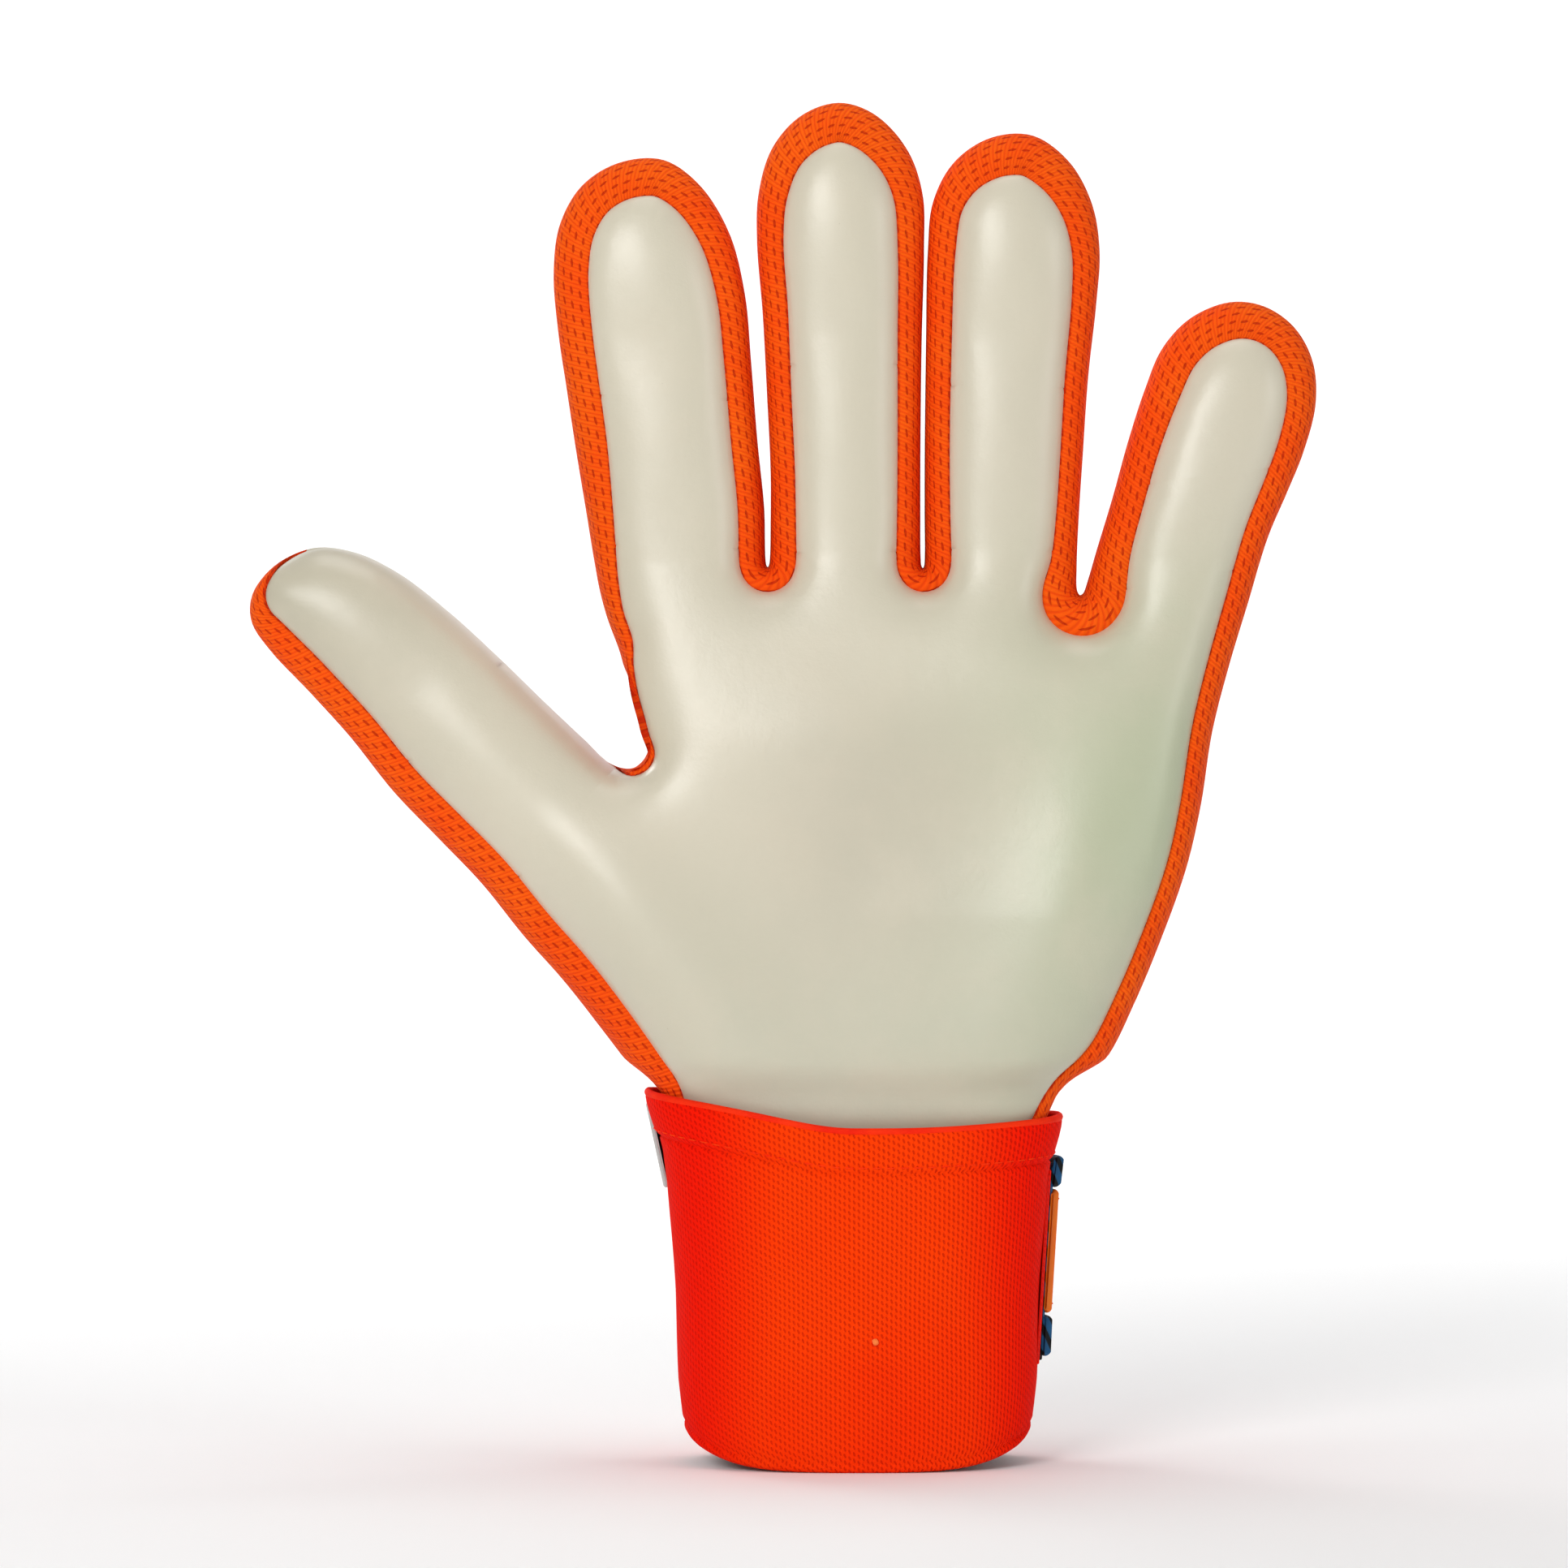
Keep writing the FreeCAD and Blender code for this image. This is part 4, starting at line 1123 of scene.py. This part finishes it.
def latex_material():
    s = Shade("foam_latex", Roughness=0.38, Coat_Weight=0.5, Coat_Roughness=0.42)
    x, _, z = s.parts(s.place())
    cool = s.times(s.ramp(x, -0.012, 0.066), s.ramp(z, 0.195, 0.12))
    base = s.mix(cool, srgb(209, 202, 181), srgb(182, 190, 158))
    low = s.ramp(z, 0.125, 0.07)
    base = s.mix(s.times(low, 0.6), base, srgb(188, 189, 167))
    # painted shade: the latex is drawn darker over the palm's hollow, where less light falls
    hollow = s.times(s.ramp(s.math("ABSOLUTE", s.math("SUBTRACT", x, 0.006)), 0.034, 0.004),
                     s.ramp(s.math("ABSOLUTE", s.math("SUBTRACT", z, 0.122)), 0.036, 0.004))
    base = s.mix(s.times(hollow, 0.5), base, srgb(188, 182, 162))
    # painted shade: the latex is drawn darker over the thumb
    base = s.mix(s.times(s.ramp(x, -0.062, -0.108), 0.6), base, srgb(176, 170, 148))
    base = s.mix(s.times(s.ramp(s.noise(45, 4), 0.42, 0.68), 0.25), base, srgb(214, 204, 182))
    speck = s.ramp(s.cells(420), 0.06, 0.02)
    speck = s.times(speck, s.ramp(s.noise(150, 2), 0.55, 0.72))
    s.colour(s.mix(s.times(speck, 0.45), base, srgb(150, 138, 112)))
    fold = s.bump(s.noise(90, 4, roughness=0.6), 0.0006, 0.35)
    s.bump(s.noise(1500, 2), 0.0001, 0.3, fold)
    return s.material


def dashes(s, along, across, pitch, row, long, wide, slant=0.0):
    """Short strokes in staggered rows: 1 on a stroke."""
    shift = s.times(s.math("FLOOR", s.math("DIVIDE", across, row)), 0.37)
    u = s.math("SUBTRACT", s.math("FRACT", s.math("ADD", s.math("DIVIDE", along, pitch), shift)), 0.5)
    v = s.math("SUBTRACT", s.math("FRACT", s.math("DIVIDE", across, row)), 0.5)
    du = s.times(u, pitch / long)
    dv = s.times(s.math("ADD", v, s.times(u, slant)), row / wide)
    away = s.math("SQRT", s.math("ADD", s.times(du, du), s.times(dv, dv)))
    return s.ramp(away, 1.15, 0.7)


def tape_material():
    s = Shade("knitted_tape", Roughness=0.8, Specular_IOR_Level=0.1)
    along, across, _ = s.parts(s.field("tape"))
    stroke = dashes(s, along, across, 2.7, 1.7, 0.85, 0.24, 0.25)
    rib = s.math("SINE", s.times(s.math("ADD", along, s.times(across, 0.35)), 2 * math.pi / 0.8))
    base = s.mix(s.ramp(s.noise(60, 3), 0.35, 0.7), srgb(255, 84, 6), srgb(255, 100, 10))
    base = s.mix(s.ramp(rib, 0.2, -1.0, 0.0, 0.5), base, srgb(228, 50, 2))
    base = s.mix(s.times(stroke, 0.7), base, srgb(186, 22, 0))
    # painted shade: the tape is drawn darker along its front edge, in the seam under the latex's edge
    edge = s.ramp(across, 1.5, 0.5)
    s.colour(s.mix(s.times(edge, 0.7), base, srgb(190, 24, 2)))
    height = s.math("SUBTRACT", s.times(rib, 0.3), stroke)
    s.bump(height, 0.0003, 0.8)
    return s.material


def knit_material(name, light, dark, depth=0.00025):
    """Fine knit: staggered slanting loops with small dark gaps between them, drawn darker towards the sides
    as painted shade.
    """
    s = Shade(name, Roughness=0.85, Specular_IOR_Level=0.06)
    x, y, _ = s.parts(s.field("knit"))
    gap = dashes(s, y, x, 1.25, 0.88, 0.4, 0.19, 0.5)
    thread = s.math("SINE", s.times(x, 2 * math.pi / 0.88))
    # painted shade: the knit takes its darker colour towards the left and right sides, which face away from
    # the light
    side = s.ramp(s.math("ABSOLUTE", s.parts(s.place())[0]), 0.012, 0.033)
    base = s.mix(s.math("MAXIMUM", side, s.ramp(s.noise(22, 3), 0.35, 0.68, 0.0, 0.4)), light, dark)
    s.colour(s.mix(s.times(gap, 0.5), base, srgb(200, 8, 0)))
    s.bump(s.math("SUBTRACT", s.times(thread, 0.25), gap), depth, 0.8)
    return s.material


def foam_material():
    s = Shade("backhand_foam", Roughness=0.6, Sheen_Weight=0.1)
    base = s.mix(s.ramp(s.noise(40, 3), 0.4, 0.65), srgb(206, 201, 198), srgb(192, 187, 185))
    # painted shade: the foam is drawn darker in its pressed-in grooves
    pressed = s.ramp(s.parts(s.field("pressed"))[0], 0.5, 1.7)
    base = s.mix(s.times(pressed, 0.55), base, srgb(150, 146, 146))
    pore = s.ramp(s.cells(1100), 0.3, 0.12)
    s.colour(s.mix(s.times(pore, 0.3), base, srgb(170, 163, 160)))
    s.bump(s.cells(1100), 0.0002, 0.4)
    return s.material


def stripe_material():
    """Blue synthetic crossed by slanting black bands, with a fine woven grain."""
    s = Shade("blue_striped", Roughness=0.6, Specular_IOR_Level=0.12)
    x, y, z = s.parts(s.place())
    slant = s.math("ADD", s.math("ADD", x, s.times(y, 0.8)), s.times(z, 0.8))
    wave = s.math("FRACT", s.math("DIVIDE", slant, 0.0042))
    dark = s.times(s.ramp(wave, 0.5, 0.58), s.ramp(wave, 1.0, 0.94))
    base = s.mix(s.ramp(s.noise(200, 3), 0.35, 0.7), srgb(27, 88, 134), srgb(34, 100, 150))
    s.colour(s.mix(dark, base, srgb(14, 16, 20)))
    s.bump(s.cells(1600), 0.0001, 0.4)
    return s.material


def smooth_material(name, light, dark, roughness=0.45, grain=1500, depth=0.0001):
    s = Shade(name, Roughness=roughness, Specular_IOR_Level=0.15)
    s.colour(s.mix(s.ramp(s.noise(90, 4), 0.35, 0.68), light, dark))
    s.bump(s.cells(grain), depth, 0.5)
    return s.material


# ---- camera, floor and light ----------------------------------------------------------------------
def area_lamp(name, place, target, power, size):
    lamp = bpy.data.objects.new(name, bpy.data.lights.new(name, "AREA"))
    lamp.data.energy = power
    lamp.data.size = size
    lamp.location = place
    lamp.rotation_euler = (Vector(target) - Vector(place)).to_track_quat("-Z", "Y").to_euler()
    scene.collection.objects.link(lamp)


VIEW_TO_HEIGHT = 1.1572                # the picture's width to the glove's height
VIEW_ASIDE = 0.0013                    # the picture's middle from the CAD box's, in metres


def set_camera():
    (left, _, _), (right, _, top) = cad_box
    camera = bpy.data.objects.new("camera", bpy.data.cameras.new("camera"))
    scene.collection.objects.link(camera)
    distance = 1.2
    camera.data.sensor_width = 36.0
    camera.data.lens = camera.data.sensor_width * distance / (VIEW_TO_HEIGHT * top)
    camera.location = ((left + right) / 2 + VIEW_ASIDE, -distance, top / 2)
    camera.rotation_euler = (math.pi / 2, 0, 0)
    camera.data.clip_start, camera.data.clip_end = 0.01, 20
    scene.camera = camera


def lay_floor():
    """A wide floor that curves up behind the glove."""
    start, bend, top = 0.9, 0.7, 4.0
    turns = np.radians(np.linspace(8, 90, 12))
    profile = [(-9.0, 0.0), (start, 0.0)]
    profile += [(start + bend * math.sin(a), bend - bend * math.cos(a)) for a in turns]
    profile += [(1.6, top)]
    verts = [(x, y, z) for y, z in profile for x in (-7.0, 7.0)]
    faces = [(2 * i, 2 * i + 1, 2 * i + 3, 2 * i + 2) for i in range(len(profile) - 1)]
    mesh = bpy.data.meshes.new("floor")
    mesh.from_pydata(verts, [], faces)
    mesh.polygons.foreach_set("use_smooth", [True] * len(faces))
    floor = bpy.data.objects.new("floor", mesh)
    scene.collection.objects.link(floor)
    s = Shade("studio_floor", Roughness=0.9)
    s.colour(s.mix(s.noise(0.6), (0.93, 0.93, 0.93, 1), (0.96, 0.96, 0.96, 1)))
    mesh.materials.append(s.material)


def light_stage():
    world = bpy.data.worlds.new("world")
    world.use_nodes = True
    world.node_tree.nodes["Background"].inputs[0].default_value = (1, 1, 1, 1)
    world.node_tree.nodes["Background"].inputs[1].default_value = 0.3
    scene.world = world
    scene.view_settings.view_transform = "Standard"
    lamps = [("key", (-0.42, -1.0, 0.50), 6.2, 0.42), ("side", (0.95, -0.55, 0.35), 1.8, 0.4),
             ("top", (0.0, 0.1, 1.4), 5.0, 0.8), ("back", (-0.75, 0.9, 0.75), 2.2, 0.35)]
    for name, place, power, size in lamps:
        area_lamp(name, place, (0, 0, 0.13), power, size)
    for name, x in (("wash_left", -0.9), ("wash_right", 0.9)):
        area_lamp(name, (x, 0.75, 0.9), (0.5 * x, 1.7, 0.3), 7.0, 0.8)


set_camera()
lay_floor()
light_stage()
LATEX_LOOK, TAPE_LOOK, FOAM_LOOK = latex_material(), tape_material(), foam_material()
# the second colour is both a random darker tone of the knit and the painted shade at the cuff's sides
CUFF_LOOK = knit_material("cuff_knit", srgb(255, 62, 0), srgb(250, 22, 0))
LINING_LOOK = knit_material("lining_knit", srgb(236, 70, 30), srgb(214, 50, 20))
THREAD_LOOK = smooth_material("thread", srgb(255, 66, 6), srgb(250, 40, 4), 0.9, 500, 0.00003)
PIPING_LOOK = smooth_material("piping", srgb(252, 50, 4), srgb(240, 30, 2), 0.8, 2400)
KNOT_LOOK = smooth_material("thread_knot", srgb(255, 140, 70), srgb(255, 110, 40), 0.7, 900)
BADGE_LOOK = smooth_material("badge_orange", srgb(255, 124, 6), srgb(252, 112, 4), 0.55, 1200)
TAB_LOOK = smooth_material("tab_orange", srgb(250, 120, 12), srgb(246, 108, 8), 0.5, 1300)
HOOK_LOOK = smooth_material("hook_side", srgb(26, 26, 28), srgb(44, 44, 46), 0.6, 700, 0.0005)
LOOP_LOOK = smooth_material("loop_side", srgb(36, 36, 40), srgb(20, 20, 22), 0.9, 900, 0.0006)
STRIPE_LOOK = stripe_material()
sheet_pieces(0, LATEX_LOOK, LINING_LOOK)
sheet_pieces(1, FOAM_LOOK, LINING_LOOK)
strip_pieces(TAPE_LOOK)
build_cuff(CUFF_LOOK, LINING_LOOK)
build_cuff_trim(THREAD_LOOK, PIPING_LOOK, KNOT_LOOK)
build_strap(STRIPE_LOOK, BADGE_LOOK, HOOK_LOOK, LOOP_LOOK, TAB_LOOK, CUFF_LOOK, THREAD_LOOK)
build_gusset(FOAM_LOOK)
back_pad("stripe_panel", [(-28, 80, 9), (34, 80, 9), (40, 122, 9), (-24, 122, 9)], 1.8,
         STRIPE_LOOK, "stripe_panel")
back_pad("punch_pad", [(-34, 131, 8), (57, 131, 8), (57, 156, 8), (-36, 156, 8)], 2.2,
         BADGE_LOOK, "punch_pad", punch_ribs)
